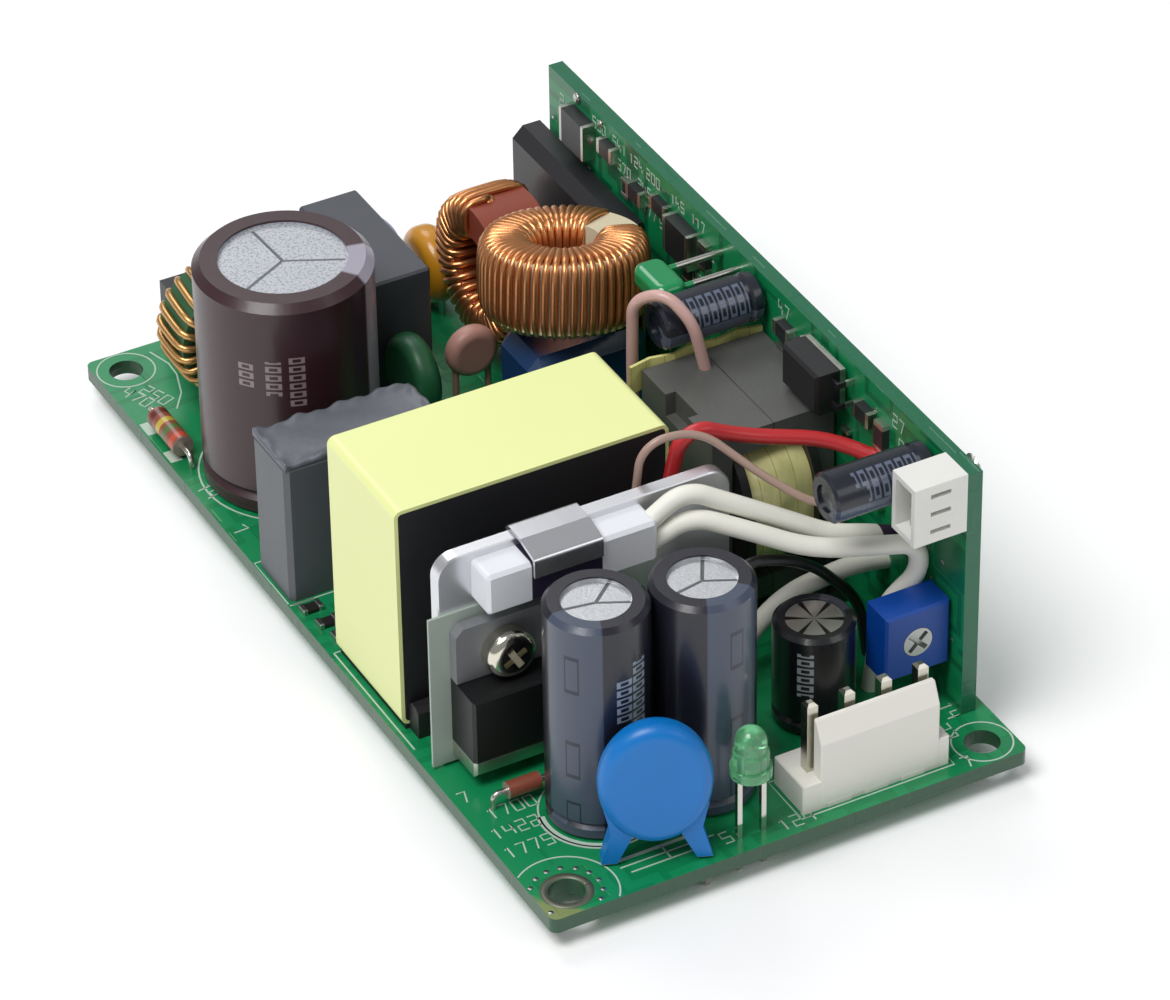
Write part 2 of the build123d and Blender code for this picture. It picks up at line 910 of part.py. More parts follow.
finish(transformer_bobbin, "transformer_bobbin")
winding_radius = flange_window / 2 - winding_margin
with BuildPart() as transformer_winding:
    with BuildSketch(across(core_x)):
        with Locations((core_y, core_middle)):
            Circle(winding_radius)
            Circle(tube_radius, mode=Mode.SUBTRACT)
    extrude(amount=bobbin_half - bobbin_flange, both=True)
finish(transformer_winding, "transformer_winding")

# Crinkled strip of tape along the back of the top legs
with BuildPart() as transformer_tape:
    with BuildSketch(upright(0, 0, core_top - core_leg)):
        back = core_y + core_width / 2
        wave = [0.0, 0.5, 0.0, 0.7, 0.1, 0.6, 0.0]
        step = (core_length + tape_overhang) / (len(wave) - 1)
        tape_left = core_x - core_length / 2 - tape_overhang
        near = [(tape_left + i * step, back + w) for i, w in enumerate(wave)]
        far = [(x, y + tape_thickness) for x, y in near]
        Polygon(*near, *reversed(far))
    extrude(amount=core_leg + tape_rise)
finish(transformer_tape, "transformer_tape")

# Heatsink plate with rounded top corners and the screw's hole
plate_middle = (plate_left + plate_right) / 2
with BuildPart() as heatsink:
    with BuildSketch(facing(plate_front)) as plate_form:
        with Locations((plate_middle, plate_height / 2)):
            Rectangle(plate_right - plate_left, plate_height)
        fillet(plate_form.vertices().group_by(Axis.Z)[-1], plate_corner)
        with Locations((transistor_x, screw_height)):
            Circle(screw_diameter / 2 + screw_fit, mode=Mode.SUBTRACT)
    extrude(amount=-plate_thickness)
finish(heatsink, "heatsink")

# Insulating sheet between the plate and the transistor
sheet_front = plate_front - sheet_thickness
with BuildPart() as insulating_sheet:
    with BuildSketch(facing(plate_front)):
        with Locations(((sheet_left + sheet_right) / 2, (sheet_bottom + sheet_top) / 2)):
            Rectangle(sheet_right - sheet_left, sheet_top - sheet_bottom)
        with Locations((transistor_x, screw_height)):
            Circle(tab_hole_diameter / 2, mode=Mode.SUBTRACT)
    extrude(amount=sheet_thickness)
finish(insulating_sheet, "insulating_sheet")

# Transistor: metal tab, moulded body and three leads down to the board
body_top = transistor_bottom + transistor_body_height
lead_front = sheet_front - transistor_lead_setback
with BuildPart() as power_transistor:
    with BuildSketch(facing(sheet_front)) as tab_form:
        with Locations((transistor_x, (transistor_bottom + transistor_top) / 2)):
            Rectangle(transistor_width, transistor_top - transistor_bottom)
        chamfer(tab_form.vertices().group_by(Axis.Z)[-1], 0.8)
        with Locations((transistor_x, screw_height)):
            Circle(tab_hole_diameter / 2, mode=Mode.SUBTRACT)
    extrude(amount=tab_thickness)
    with BuildSketch(facing(sheet_front)) as mould_form:
        with Locations((transistor_x, (transistor_bottom + body_top) / 2)):
            Rectangle(transistor_width, transistor_body_height)
    extrude(amount=transistor_depth)
    chamfer(edges().group_by(Axis.Y)[0], 0.3)
    with BuildSketch(upright(transistor_x, lead_front)):
        with GridLocations(pitch, 0, 3, 1):
            Rectangle(transistor_lead_width, transistor_lead_thickness)
    extrude(amount=transistor_bottom)
finish(power_transistor, "power_transistor")

# Pan head screw with a cross recess
tab_face = sheet_front - tab_thickness
with BuildPart() as transistor_screw:
    with BuildSketch(facing(tab_face)):
        with Locations((transistor_x, screw_height)):
            Circle(screw_head_radius)
    extrude(amount=screw_head_height)
    fillet(edges().group_by(Axis.Y)[0], 1.0)
    with BuildSketch(facing(tab_face - screw_head_height)):
        with Locations((transistor_x, screw_height)):
            Rectangle(2.6, 0.7, rotation=30)
            Rectangle(0.7, 2.6, rotation=30)
    extrude(amount=-1.1, mode=Mode.SUBTRACT)
    with BuildSketch(facing(tab_face)):
        with Locations((transistor_x, screw_height)):
            Circle(screw_diameter / 2)
    extrude(amount=-(tab_thickness + sheet_thickness + plate_thickness + screw_tail))
finish(transistor_screw, "transistor_screw")

# Thermal cut-out: a white block against the plate
cutout_front = plate_front - cutout_depth
with BuildPart() as thermal_cutout:
    with BuildSketch(facing(plate_front)):
        with Locations(((cutout_left + cutout_right) / 2, (cutout_bottom + cutout_top) / 2)):
            RectangleRounded(cutout_right - cutout_left, cutout_top - cutout_bottom, 0.5)
    extrude(amount=cutout_depth)
    chamfer(edges().group_by(Axis.Y)[0], 0.35)
finish(thermal_cutout, "thermal_cutout")

# Spring clip bent over the top of the plate and down the front of the cut-out
clip_back = plate_front + plate_thickness + clip_gap + clip_thickness / 2
clip_top = plate_height + clip_gap + clip_thickness / 2
clip_front = cutout_front - clip_gap - clip_thickness / 2
with BuildPart() as spring_clip:
    with BuildSketch(across(clip_left)):
        with BuildLine():
            FilletPolyline(
                (clip_back, plate_height - clip_tongue),
                (clip_back, clip_top),
                (plate_front - 0.9, clip_top),
                (clip_front, cutout_top + clip_thickness),
                (clip_front, cutout_top - clip_flap),
                radius=0.4,
            )
        trace(line_width=clip_thickness)
    extrude(amount=clip_width)
finish(spring_clip, "spring_clip")

# Bridge rectifier: inline slab with a bevelled top edge and four flat leads
bridge_x = daughter_face - bridge_gap - bridge_thickness
bridge_y = bridge_back - bridge_length / 2
with BuildPart() as bridge_rectifier:
    with BuildSketch(across(bridge_x)):
        with Locations((bridge_y, (bridge_bottom + bridge_top) / 2)):
            Rectangle(bridge_length, bridge_top - bridge_bottom)
    extrude(amount=bridge_thickness)
    chamfer(edges().filter_by(Axis.Y).group_by(Axis.Z)[-1].sort_by(Axis.X)[0], bridge_bevel)
    with BuildSketch(upright(bridge_x + bridge_thickness / 2, bridge_y)):
        with GridLocations(0, 2 * pitch, 1, 4):
            Rectangle(bridge_lead_thickness, bridge_lead_width)
    extrude(amount=bridge_bottom)
finish(bridge_rectifier, "bridge_rectifier")

# Optocoupler with two bent leads at each end
opto_face = daughter_face - opto_standoff
opto_mid = opto_face - opto_depth / 2
with BuildPart() as optocoupler:
    with BuildSketch(across(opto_face)):
        with Locations((opto_y, opto_height)):
            Rectangle(opto_length, opto_width)
    extrude(amount=-opto_depth)
    chamfer(edges().group_by(Axis.X)[0], 0.3)
    for way in (-1, 1):
        root = opto_y + way * opto_length / 2
        tip = root + way * opto_lead_reach
        heel = tip - way * opto_lead_thickness
        for lift in (-pitch / 2, pitch / 2):
            with BuildSketch(Plane.XY.offset(board_top + opto_height + lift)):
                Polygon(
                    (opto_mid, root),
                    (opto_mid, tip),
                    (daughter_face, tip),
                    (daughter_face, heel),
                    (opto_mid + opto_lead_thickness, heel),
                    (opto_mid + opto_lead_thickness, root),
                )
            extrude(amount=opto_lead_width / 2, both=True)
finish(optocoupler, "optocoupler")

# Trimmer housing with the bore of its rotor and the chamber of the wiper behind it
trimmer_right = daughter_face - trimmer_standoff
trimmer_x = trimmer_right - trimmer_width / 2
trimmer_middle = trimmer_bottom + trimmer_height / 2
chamber_front = trimmer_front + rotor_depth
with BuildPart() as trimmer_body:
    with BuildSketch(facing(trimmer_front)):
        with Locations((trimmer_x, trimmer_middle)):
            Rectangle(trimmer_width, trimmer_height)
    extrude(amount=-trimmer_depth)
    chamfer(edges().group_by(Axis.Y)[0], 0.25)
    with BuildSketch(facing(trimmer_front)):
        with Locations((trimmer_x, trimmer_middle)):
            Circle(rotor_radius + rotor_clearance)
    extrude(amount=-rotor_depth, mode=Mode.SUBTRACT)
    with BuildSketch(facing(chamber_front)):
        with Locations((trimmer_x, trimmer_middle)):
            Circle(wiper_radius + rotor_clearance)
    extrude(amount=-(wiper_thickness + 2 * rotor_clearance), mode=Mode.SUBTRACT)
    with BuildSketch(across(trimmer_right)):
        with Locations((trimmer_front + trimmer_depth / 2, trimmer_middle)):
            with GridLocations(pitch, pitch, 1, 3):
                Circle(lead_diameter / 2)
    extrude(amount=trimmer_standoff)
finish(trimmer_body, "trimmer_body")

# Rotor with a cross slot, held by the wiper disc behind the face
with BuildPart() as trimmer_rotor:
    with BuildSketch(facing(trimmer_front)):
        with Locations((trimmer_x, trimmer_middle)):
            Circle(rotor_radius)
    extrude(amount=-(rotor_depth + rotor_clearance + wiper_thickness))
    with BuildSketch(facing(chamber_front + rotor_clearance)):
        with Locations((trimmer_x, trimmer_middle)):
            Circle(wiper_radius)
    extrude(amount=-wiper_thickness)
    with BuildSketch(facing(trimmer_front)):
        with Locations((trimmer_x, trimmer_middle)):
            Rectangle(slot_length, slot_width, rotation=slot_turn)
            Rectangle(slot_width, slot_length, rotation=slot_turn)
    extrude(amount=-slot_depth, mode=Mode.SUBTRACT)
finish(trimmer_rotor, "trimmer_rotor")

# Output header: base, locking wall with a bevelled top, and notches along the wall's foot
header_length = header_ways * header_pitch
header_right = header_left + header_length
header_back = header_front + header_depth
header_x = (header_left + header_right) / 2
pin_row = header_front + pin_back
with BuildPart() as output_header:
    with BuildSketch(upright(header_x, (header_front + header_back) / 2)):
        Rectangle(header_length, header_depth)
    extrude(amount=header_base)
    with BuildSketch(across(header_left + header_wall_inset)):
        Polygon(
            (header_front, 0),
            (header_front, header_wall - 2 * header_bevel),
            (header_front + header_bevel, header_wall),
            (header_front + header_wall_thickness, header_wall),
            (header_front + header_wall_thickness, 0),
        )
    extrude(amount=header_length - 2 * header_wall_inset)
    with BuildSketch(upright(header_x, header_front)):
        with GridLocations(header_pitch, 0, header_ways - 1, 1):
            Rectangle(header_notch_width, 2 * header_notch_depth)
    extrude(amount=header_notch_depth * 2, mode=Mode.SUBTRACT)
    with BuildSketch(upright(header_x, pin_row)):
        with GridLocations(header_pitch, 0, header_ways, 1):
            Rectangle(pin_width + 2 * pin_fit, pin_width + 2 * pin_fit)
    extrude(amount=header_base, mode=Mode.SUBTRACT)
finish(output_header, "output_header")

# Fan header: a box open towards the middle, three slots on its output side, and its floor
fan_bottom = fan_top - fan_length
fan_middle = (fan_top + fan_bottom) / 2
fan_y = daughter_front + fan_depth / 2
with BuildPart() as fan_header:
    with BuildSketch(across(daughter_face)):
        with Locations((fan_y, fan_middle)):
            Rectangle(fan_depth, fan_length)
    extrude(amount=-fan_reach)
    with BuildSketch(across(daughter_face - fan_reach)):
        with Locations((fan_y, fan_middle)):
            Rectangle(fan_depth - 2 * fan_wall, fan_length - 2 * fan_wall)
    extrude(amount=fan_cavity, mode=Mode.SUBTRACT)
    with BuildSketch(facing(daughter_front)):
        with Locations((daughter_face - fan_reach / 2, fan_middle)):
            with GridLocations(0, fan_pitch, 1, fan_ways):
                Rectangle(fan_slot_length, fan_slot_width)
    extrude(amount=-fan_wall, mode=Mode.SUBTRACT)
    with BuildSketch(across(daughter_face)):
        with Locations((fan_y, fan_middle)):
            with GridLocations(0, fan_pitch, 1, fan_ways):
                Rectangle(fan_pin + 2 * pin_fit, fan_pin + 2 * pin_fit)
    extrude(amount=-(fan_reach - fan_cavity), mode=Mode.SUBTRACT)
finish(fan_header, "fan_header")

# Mains input header: open topped housing
with BuildPart() as ac_input_header:
    with BuildSketch(upright(inlet_x, inlet_y)):
        Rectangle(inlet_length, inlet_depth)
    extrude(amount=inlet_height)
    with BuildSketch(upright(inlet_x, inlet_y, inlet_height)):
        Rectangle(inlet_length - 2 * inlet_wall, inlet_depth - 2 * inlet_wall)
    extrude(amount=-(inlet_height - inlet_floor), mode=Mode.SUBTRACT)
    with BuildSketch(upright(inlet_x, inlet_y)):
        with GridLocations(2 * inlet_pitch, 0, 2, 1):
            Rectangle(pin_width + 2 * pin_fit, pin_width + 2 * pin_fit)
    extrude(amount=inlet_floor, mode=Mode.SUBTRACT)
finish(ac_input_header, "ac_input_header")

# Pins of the three headers, all square wire
with BuildPart() as header_pins:
    with BuildSketch(upright(header_x, pin_row)):
        with GridLocations(header_pitch, 0, header_ways, 1):
            Rectangle(pin_width, pin_width)
    extrude(amount=pin_top)
    with BuildSketch(upright(inlet_x, inlet_y)):
        with GridLocations(2 * inlet_pitch, 0, 2, 1):
            Rectangle(pin_width, pin_width)
    extrude(amount=inlet_height - 1)
    tips = faces().filter_by(Axis.Z).filter_by(lambda f: f.center().Z > board_top + inlet_floor)
    chamfer(tips.edges(), pin_chamfer)
    with BuildSketch(across(daughter_face)):
        with Locations((fan_y, fan_middle)):
            with GridLocations(0, fan_pitch, 1, fan_ways):
                Rectangle(fan_pin, fan_pin)
    extrude(amount=-fan_pin_reach)
finish(header_pins, "header_pins")

# Fuse lying across the back
with BuildPart() as fuse:
    with BuildSketch(across(fuse_x)):
        with Locations((fuse_y, fuse_height)):
            Circle(fuse_radius)
    extrude(amount=fuse_length / 2, both=True)
    with BuildLine():
        half = fuse_lead_pitch / 2
        lead_line = FilletPolyline(
            (fuse_x - half, fuse_y, board_top),
            (fuse_x - half, fuse_y, board_top + fuse_height),
            (fuse_x + half, fuse_y, board_top + fuse_height),
            (fuse_x + half, fuse_y, board_top),
            radius=lead_diameter,
        )
    with BuildSketch(Plane(lead_line @ 0, z_dir=lead_line % 0)):
        Circle(lead_diameter / 2)
    sweep(path=lead_line)
finish(fuse, "fuse")

# Light emitting diode: stepped body with a dome, on two legs
with BuildPart() as status_led:
    with BuildSketch(half_section((led_x, led_y, board_top + led_bottom), (0, 0, 1), (1, 0, 0))):
        with BuildLine():
            shoulder = led_height - led_dome_radius
            Polyline(
                (0, led_height),
                (0, 0),
                (led_collar_radius, 0),
                (led_collar_radius, led_collar_height),
                (led_body_radius, led_collar_height),
                (led_body_radius, led_step_height),
                (led_dome_radius, led_step_height + 0.3),
                (led_dome_radius, shoulder),
            )
            RadiusArc((led_dome_radius, shoulder), (0, led_height), -led_dome_radius)
        make_face()
    revolve(axis=Axis((led_x, led_y, 0), (0, 0, 1)))
    with BuildSketch(upright(led_x, led_y)):
        with GridLocations(pitch, 0, 2, 1):
            Rectangle(led_lead_width, led_lead_width)
    extrude(amount=led_bottom)
finish(status_led, "status_led")

# Two axial resistors: one along the left edge, one in front of the transistor's leads
resistors = [
    (resistor_x, resistor_y, resistor_height, resistor_radius, resistor_length, resistor_pitch, 90),
    (bead_x, bead_y, resistor_height, bead_radius, bead_length, bead_pitch, 0),
]
with BuildPart() as axial_resistors:
    for x, y, height, radius, length, lead_pitch, heading in resistors:
        along = Vector(1, 0, 0).rotate(Axis.Z, heading)
        middle = Vector(x, y, board_top + height)
        with BuildSketch(Plane(middle, z_dir=along)):
            Circle(radius)
        extrude(amount=length / 2, both=True)
        start = middle - along * (lead_pitch / 2)
        stop = middle + along * (lead_pitch / 2)
        with BuildLine():
            lead_line = FilletPolyline(
                Vector(start.X, start.Y, board_top),
                start,
                stop,
                Vector(stop.X, stop.Y, board_top),
                radius=resistor_lead,
            )
        with BuildSketch(Plane(lead_line @ 0, z_dir=lead_line % 0)):
            Circle(resistor_lead / 2)
        sweep(path=lead_line)
finish(axial_resistors, "axial_resistors")

# Surface mount parts on the daughter board: length along Y, height, thickness, place
chips = [
    (5.0, 4.0, 1.5, 31.0, 24.3),
    (5.0, 4.0, 1.5, 9.5, 23.5),
    (3.0, 1.6, 1.0, 25.0, 25.4),
    (3.0, 1.6, 1.0, 19.0, 23.6),
    (3.2, 1.6, 0.8, 14.4, 24.6),
    (1.6, 3.2, 0.8, 5.4, 24.0),
    (3.0, 1.6, 1.0, -10.4, 24.6),
    (3.0, 1.6, 1.0, -25.4, 24.2),
    (1.6, 3.2, 0.8, -28.4, 23.4),
]
with BuildPart() as surface_mount_parts:
    for length, height, thickness, y, level in chips:
        with BuildSketch(across(daughter_face)):
            with Locations((y, level)):
                Rectangle(length, height)
        extrude(amount=-thickness)
finish(surface_mount_parts, "surface_mount_parts")

# Leads of the cut-out in white sleeves: one to the daughter board, one back down to the board
lead_sink = 0.4
cutout_start = cutout_right - lead_sink
board_start = board_top - lead_sink
side_end = daughter_face + lead_sink


def route(points, start=None, end=None):
    """Points of a lead, written as x from the transformer's middle, y and height over the board."""
    placed = [(core_x + x, y, board_top + height) for x, y, height in points]
    first = [(start[0], start[1], board_top + start[2])] if start else []
    last = [(end[0], end[1], board_top + end[2])] if end else []
    return first + placed + last


upper_route = route(
    [(-14.1, -27.6, 24.2), (-5.9, -29.5, 19.5), (-0.6, -31.4, 16.6), (3.1, -33.6, 16.7)],
    start=(cutout_start, -27.45, 21.6),
    end=(side_end, -34.2, 15.0),
)
cutout_lead_1 = cord(upper_route, sleeve_diameter, [thermal_cutout, daughter_board])
finish(cutout_lead_1, "cutout_lead_1")
lower_route = route(
    [
        (-13.9, -28.4, 21.6),
        (-9.4, -30.4, 19.7),
        (-3.5, -33.2, 17.0),
        (5.7, -37.0, 16.8),
        (5.9, -37.0, 13.4),
        (2.7, -35.8, 9.6),
        (1.9, -35.2, -lead_sink),
    ],
    start=(cutout_start, -27.6, 19.4),
)
cutout_lead_2 = cord(lower_route, sleeve_diameter, [thermal_cutout, main_board])
finish(cutout_lead_2, "cutout_lead_2")

# Third sleeved lead, from the board up to the daughter board
return_route = route(
    [
        (-8.5, -28.0, -lead_sink),
        (-8.1, -28.2, 4.6),
        (-3.9, -28.8, 9.0),
        (3.5, -28.8, 9.8),
    ],
    end=(side_end, -29.0, 9.2),
)
return_lead = cord(return_route, sleeve_diameter, [main_board, daughter_board])
finish(return_lead, "return_lead")

# Bare coloured wires
red_route = route(
    [
        (-12.3, -21.9, -lead_sink),
        (-13.1, -22.2, 9.0),
        (-12.9, -21.8, 19.0),
        (-10.9, -21.7, 26.8),
        (-5.0, -22.3, 23.8),
        (3.1, -24.8, 22.2),
    ],
    end=(side_end, -29.2, 20.4),
)
red_wire = cord(red_route, red_diameter, [main_board, daughter_board])
finish(red_wire, "red_wire")
tan_route = route(
    [
        (-16.9, -22.9, -lead_sink),
        (-16.5, -23.1, 8.0),
        (-17.3, -22.9, 17.0),
        (-16.1, -23.0, 27.2),
        (-10.5, -23.8, 27.4),
        (-5.4, -27.5, 22.4),
        (-1.5, -31.0, 19.8),
    ],
    end=(side_end, -32.6, 18.6),
)
tan_wire = cord(tan_route, tan_diameter, [main_board, daughter_board])
finish(tan_wire, "tan_wire")
pink_route = route(
    [
        (-5.6, -2.0, -lead_sink),
        (-5.1, -1.8, 9.0),
        (-5.9, -2.6, 18.0),
        (-6.1, -3.2, 28.2),
        (-3.9, -5.6, 29.8),
        (-2.3, -8.2, 27.4),
        (-1.1, -8.6, core_top - lead_sink),
    ]
)
pink_wire = cord(pink_route, pink_diameter, [main_board, core_halves[0]])
finish(pink_wire, "pink_wire")
black_route = route(
    [
        (-13.5, -30.4, -lead_sink),
        (-13.3, -30.6, 8.0),
        (-10.9, -30.6, 16.6),
        (-2.9, -30.6, 14.0),
        (3.3, -30.6, 7.0),
        (4.3, -30.6, -lead_sink),
    ]
)
black_wire = cord(black_route, black_diameter, [main_board])
finish(black_wire, "black_wire")

# Solder joints: under the main board at each lead, and low ones on the daughter board's back
places = []
side_places = []


def pair(x, y, spacing, heading=0):
    """Two joints about a middle point, this far apart along the heading."""
    dx = spacing / 2 * cos(radians(heading))
    dy = spacing / 2 * sin(radians(heading))
    places.extend([(x - dx, y - dy), (x + dx, y + dy)])


pair(bulk_x, bulk_y, bulk_lead_pitch)
for x, y in output_places:
    pair(x, y, output_lead_pitch)
pair(small_x, small_y, small_lead_pitch)
pair(film_x, film_y, film_length - 2 * box_lead_inset)
pair(x_cap_x, x_cap_y, x_cap_length - 2 * box_lead_inset, 90)
pair(blue_film_x, blue_film_y, blue_film_length - 4 * box_lead_inset)
pair(yellow_x, yellow_y, disc_lead_pitch, 90)
pair(blue_x, blue_y, disc_lead_pitch)
pair(thermistor_x, thermistor_y, disc_lead_pitch, 90)
pair(pink_x, pink_y, disc_spread * pink_radius)
pair(y_cap_x, y_cap_y, y_cap_lead_pitch, y_cap_turn)
places.extend((x, y) for x, y, _ in flat_leads + upright_leads + line_leads)
pair(fuse_x, fuse_y, fuse_lead_pitch)
pair(resistor_x, resistor_y, resistor_pitch, 90)
pair(bead_x, bead_y, bead_pitch)
pair(led_x, led_y, pitch)
pair(inlet_x, inlet_y, 2 * inlet_pitch)
for way in (-1, 1):
    pair(pfc_x, pfc_y + way * foot_y, 2 * foot_x)
    for step_y in (-1, 0, 1):
        places.append((core_x + way * (rail_end - joint_radius), core_y + step_y * 2 * pitch))
for way in range(header_ways):
    places.append((header_left + (way + 0.5) * header_pitch, pin_row))
for way in (-1, 0, 1):
    places.append((transistor_x + way * pitch, lead_front))
for way in (-1.5, -0.5, 0.5, 1.5):
    places.append((bridge_x + bridge_thickness / 2, bridge_y + way * 2 * pitch))
for path in (return_route, red_route, tan_route, pink_route, black_route):
    places.append(path[0][:2])
for path in (black_route, lower_route):
    places.append(path[-1][:2])
for diameter, length, y, height in side_capacitors:
    for way in (-0.5, 0.5):
        side_places.append((y + way * side_lead_pitch, height))
for way in (-0.5, 0.5):
    side_places.append((green_y + way * green_lead_pitch, green_height))
for way in (-1, 0, 1):
    side_places.append((trimmer_front + trimmer_depth / 2, trimmer_middle + way * pitch))
    side_places.append((fan_y, fan_middle + way * fan_pitch))
for path in (upper_route, return_route, red_route, tan_route):
    side_places.append((path[-1][1], path[-1][2] - board_top))
with BuildPart() as under_joint:
    with BuildSketch():
        RegularPolygon(joint_tip_radius, 6)
    with BuildSketch(Plane.XY.offset(tip_height)):
        RegularPolygon(joint_radius, 6)
    loft()
with BuildPart() as side_joint:
    with BuildSketch(Plane.YZ):
        RegularPolygon(joint_radius, 6)
    with BuildSketch(Plane.YZ.offset(side_joint_height)):
        RegularPolygon(joint_tip_radius, 6)
    loft()
outer_face = daughter_face + daughter_thickness
with BuildPart() as solder_joints:
    with Locations(*places):
        add(under_joint.part)
    with Locations(*[(outer_face, y, board_top + height) for y, height in side_places]):
        add(side_joint.part)
finish(solder_joints, "solder_joints")
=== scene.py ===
"""Looks of an open frame power supply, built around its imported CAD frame.

Lengths are millimetres in the row frame until a mesh is written, where they become metres. The
board lies level, its long side along Y, and the upright side board stands at the right.
"""

import logging
import math
from dataclasses import dataclass
from enum import Enum
from typing import Optional, Sequence, Union

import bpy
import numpy as np
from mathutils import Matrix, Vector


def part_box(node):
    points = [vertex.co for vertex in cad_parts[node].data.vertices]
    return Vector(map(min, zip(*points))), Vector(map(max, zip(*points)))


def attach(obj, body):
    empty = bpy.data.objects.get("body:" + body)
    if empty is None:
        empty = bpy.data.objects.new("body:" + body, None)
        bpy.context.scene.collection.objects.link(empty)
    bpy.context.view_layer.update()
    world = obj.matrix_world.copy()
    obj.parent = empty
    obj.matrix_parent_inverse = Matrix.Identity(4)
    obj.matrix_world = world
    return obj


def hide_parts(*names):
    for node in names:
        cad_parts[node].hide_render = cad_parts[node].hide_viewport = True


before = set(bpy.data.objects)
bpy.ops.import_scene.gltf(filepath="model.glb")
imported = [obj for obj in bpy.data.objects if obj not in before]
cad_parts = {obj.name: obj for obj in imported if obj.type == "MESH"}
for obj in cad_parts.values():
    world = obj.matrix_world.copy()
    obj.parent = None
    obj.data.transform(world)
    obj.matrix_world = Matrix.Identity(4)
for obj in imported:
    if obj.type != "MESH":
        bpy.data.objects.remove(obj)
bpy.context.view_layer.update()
MM = 0.001
X, Y, Z = 0, 1, 2
BOARD_TOP = 3.6
BOARD_BOTTOM = 2.0
SIDE_FACE = 22.6
SIDE_THICKNESS = 1.6
BODY = "supply"
LOG = logging.getLogger("power_supply")

Socket = bpy.types.NodeSocket
Value = Union[float, Sequence[float], Socket]
Shell = tuple[np.ndarray, list[list[int]]]

# Half the soft edge between two finishes on one piece
BLUR = 0.05
# A Mix node that blends colours has its share at input 0 and the two colours at 6 and 7
COLOURS = {"out": 2, "data_type": "RGBA"}


def linear(code: str) -> tuple[float, float, float, float]:
    """Turn an sRGB hex code into linear light.

    Args:
        code: Colour as #rrggbb.

    Returns:
        Red, green, blue and an alpha of 1.
    """
    shares = [int(code[i : i + 2], 16) / 255 for i in (1, 3, 5)]
    light = [s / 12.92 if s <= 0.04045 else ((s + 0.055) / 1.055) ** 2.4 for s in shares]
    return (light[0], light[1], light[2], 1.0)


def scaled(code: str, factor: float) -> tuple[float, float, float, float]:
    """Turn an sRGB hex code into linear light that is darker or paler by a factor."""
    red, green, blue, alpha = linear(code)
    return (red * factor, green * factor, blue * factor, alpha)


def corner_box(node: str) -> tuple[np.ndarray, np.ndarray]:
    """Find the lowest and highest corner of a CAD node.

    Args:
        node: Name of the node.

    Returns:
        Two points in millimetres.
    """
    low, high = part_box(node)
    return np.array(low) / MM, np.array(high) / MM


class Shader:
    """A node material that is put together a step at a time.

    Attributes:
        place: Object coordinates in millimetres.
    """

    def __init__(self, name: str) -> None:
        """Start the material with a principled surface.

        Args:
            name: Name of the material.
        """
        self.material = bpy.data.materials.new(name)
        self.material.use_nodes = True
        self.tree = self.material.node_tree
        self.tree.nodes.clear()
        output = self.tree.nodes.new("ShaderNodeOutputMaterial")
        self.surface = self.add("BsdfPrincipled").node
        self.feed(output.inputs[0], self.surface.outputs[0])
        here = self.add("TexCoord", out=3)
        self.place = self.add("VectorMath", {0: here, 3: 1 / MM}, operation="SCALE")

    def add(
        self,
        kind: str,
        values: Union[Sequence[Value], dict[int, Value]] = (),
        out: int = 0,
        **settings: object,
    ) -> Socket:
        """Add one node with its settings and links.

        Args:
            kind: Blender's name of the node type, without the words ShaderNode.
            values: Socket or constant for each input, in order or by its index.
            out: Index of the output that is wanted.
            settings: Properties of the node.

        Returns:
            The wanted output.
        """
        node = self.tree.nodes.new("ShaderNode" + kind)
        for key, setting in settings.items():
            setattr(node, key, setting)
        pairs = values.items() if isinstance(values, dict) else enumerate(values)
        for index, value in pairs:
            self.feed(node.inputs[index], value)
        return node.outputs[out]

    def feed(self, socket: Socket, value: Value) -> None:
        """Link a socket to an input, or set the input's own value.

        Args:
            socket: The input.
            value: Socket or constant.
        """
        if isinstance(value, bpy.types.NodeSocket):
            self.tree.links.new(value, socket)
        else:
            socket.default_value = value

    def set(self, name: str, value: Value) -> None:
        """Set one input of the principled surface."""
        self.feed(self.surface.inputs[name], value)

    def along(self, axis: int) -> Socket:
        """Give one object coordinate in millimetres."""
        return self.add("SeparateXYZ", (self.place,), out=axis)

    def distance(self, value: Value, level: float) -> Socket:
        """Give how far a value is from a level, either way."""
        off = self.add("Math", (value, level), operation="SUBTRACT")
        return self.add("Math", (off,), operation="ABSOLUTE")

    def edge(self, value: Value, low: float, high: float) -> Socket:
        """Draw a soft edge.

        Args:
            value: What is measured.
            low: Where the edge gives 0.
            high: Where it gives 1. The edge falls where this is the smaller of the two.

        Returns:
            A share from 0 to 1.
        """
        if low <= high:
            ends = {0: value, 1: low, 2: high}
            return self.add("MapRange", ends, interpolation_type="SMOOTHSTEP")
        return self.add("Math", (1.0, self.edge(value, high, low)), operation="SUBTRACT")

    def band(self, value: Value, rise: Sequence[float], fall: Sequence[float]) -> Socket:
        """Draw a band with two soft edges.

        Args:
            value: What is measured.
            rise: Where the first edge gives 0 and 1.
            fall: Where the second edge gives 0 and 1.

        Returns:
            A share from 0 to 1, the product of the two edges.
        """
        edges = (self.edge(value, *rise), self.edge(value, *fall))
        return self.add("Math", edges, operation="MULTIPLY")

    def relief(self, height: Socket, depth: float) -> None:
        """Bump the surface.

        Args:
            height: Height from 0 to 1.
            depth: What a height of 1 stands for in millimetres.
        """
        self.set("Normal", self.add("Bump", {0: 1.0, 1: depth * MM, 3: height}))


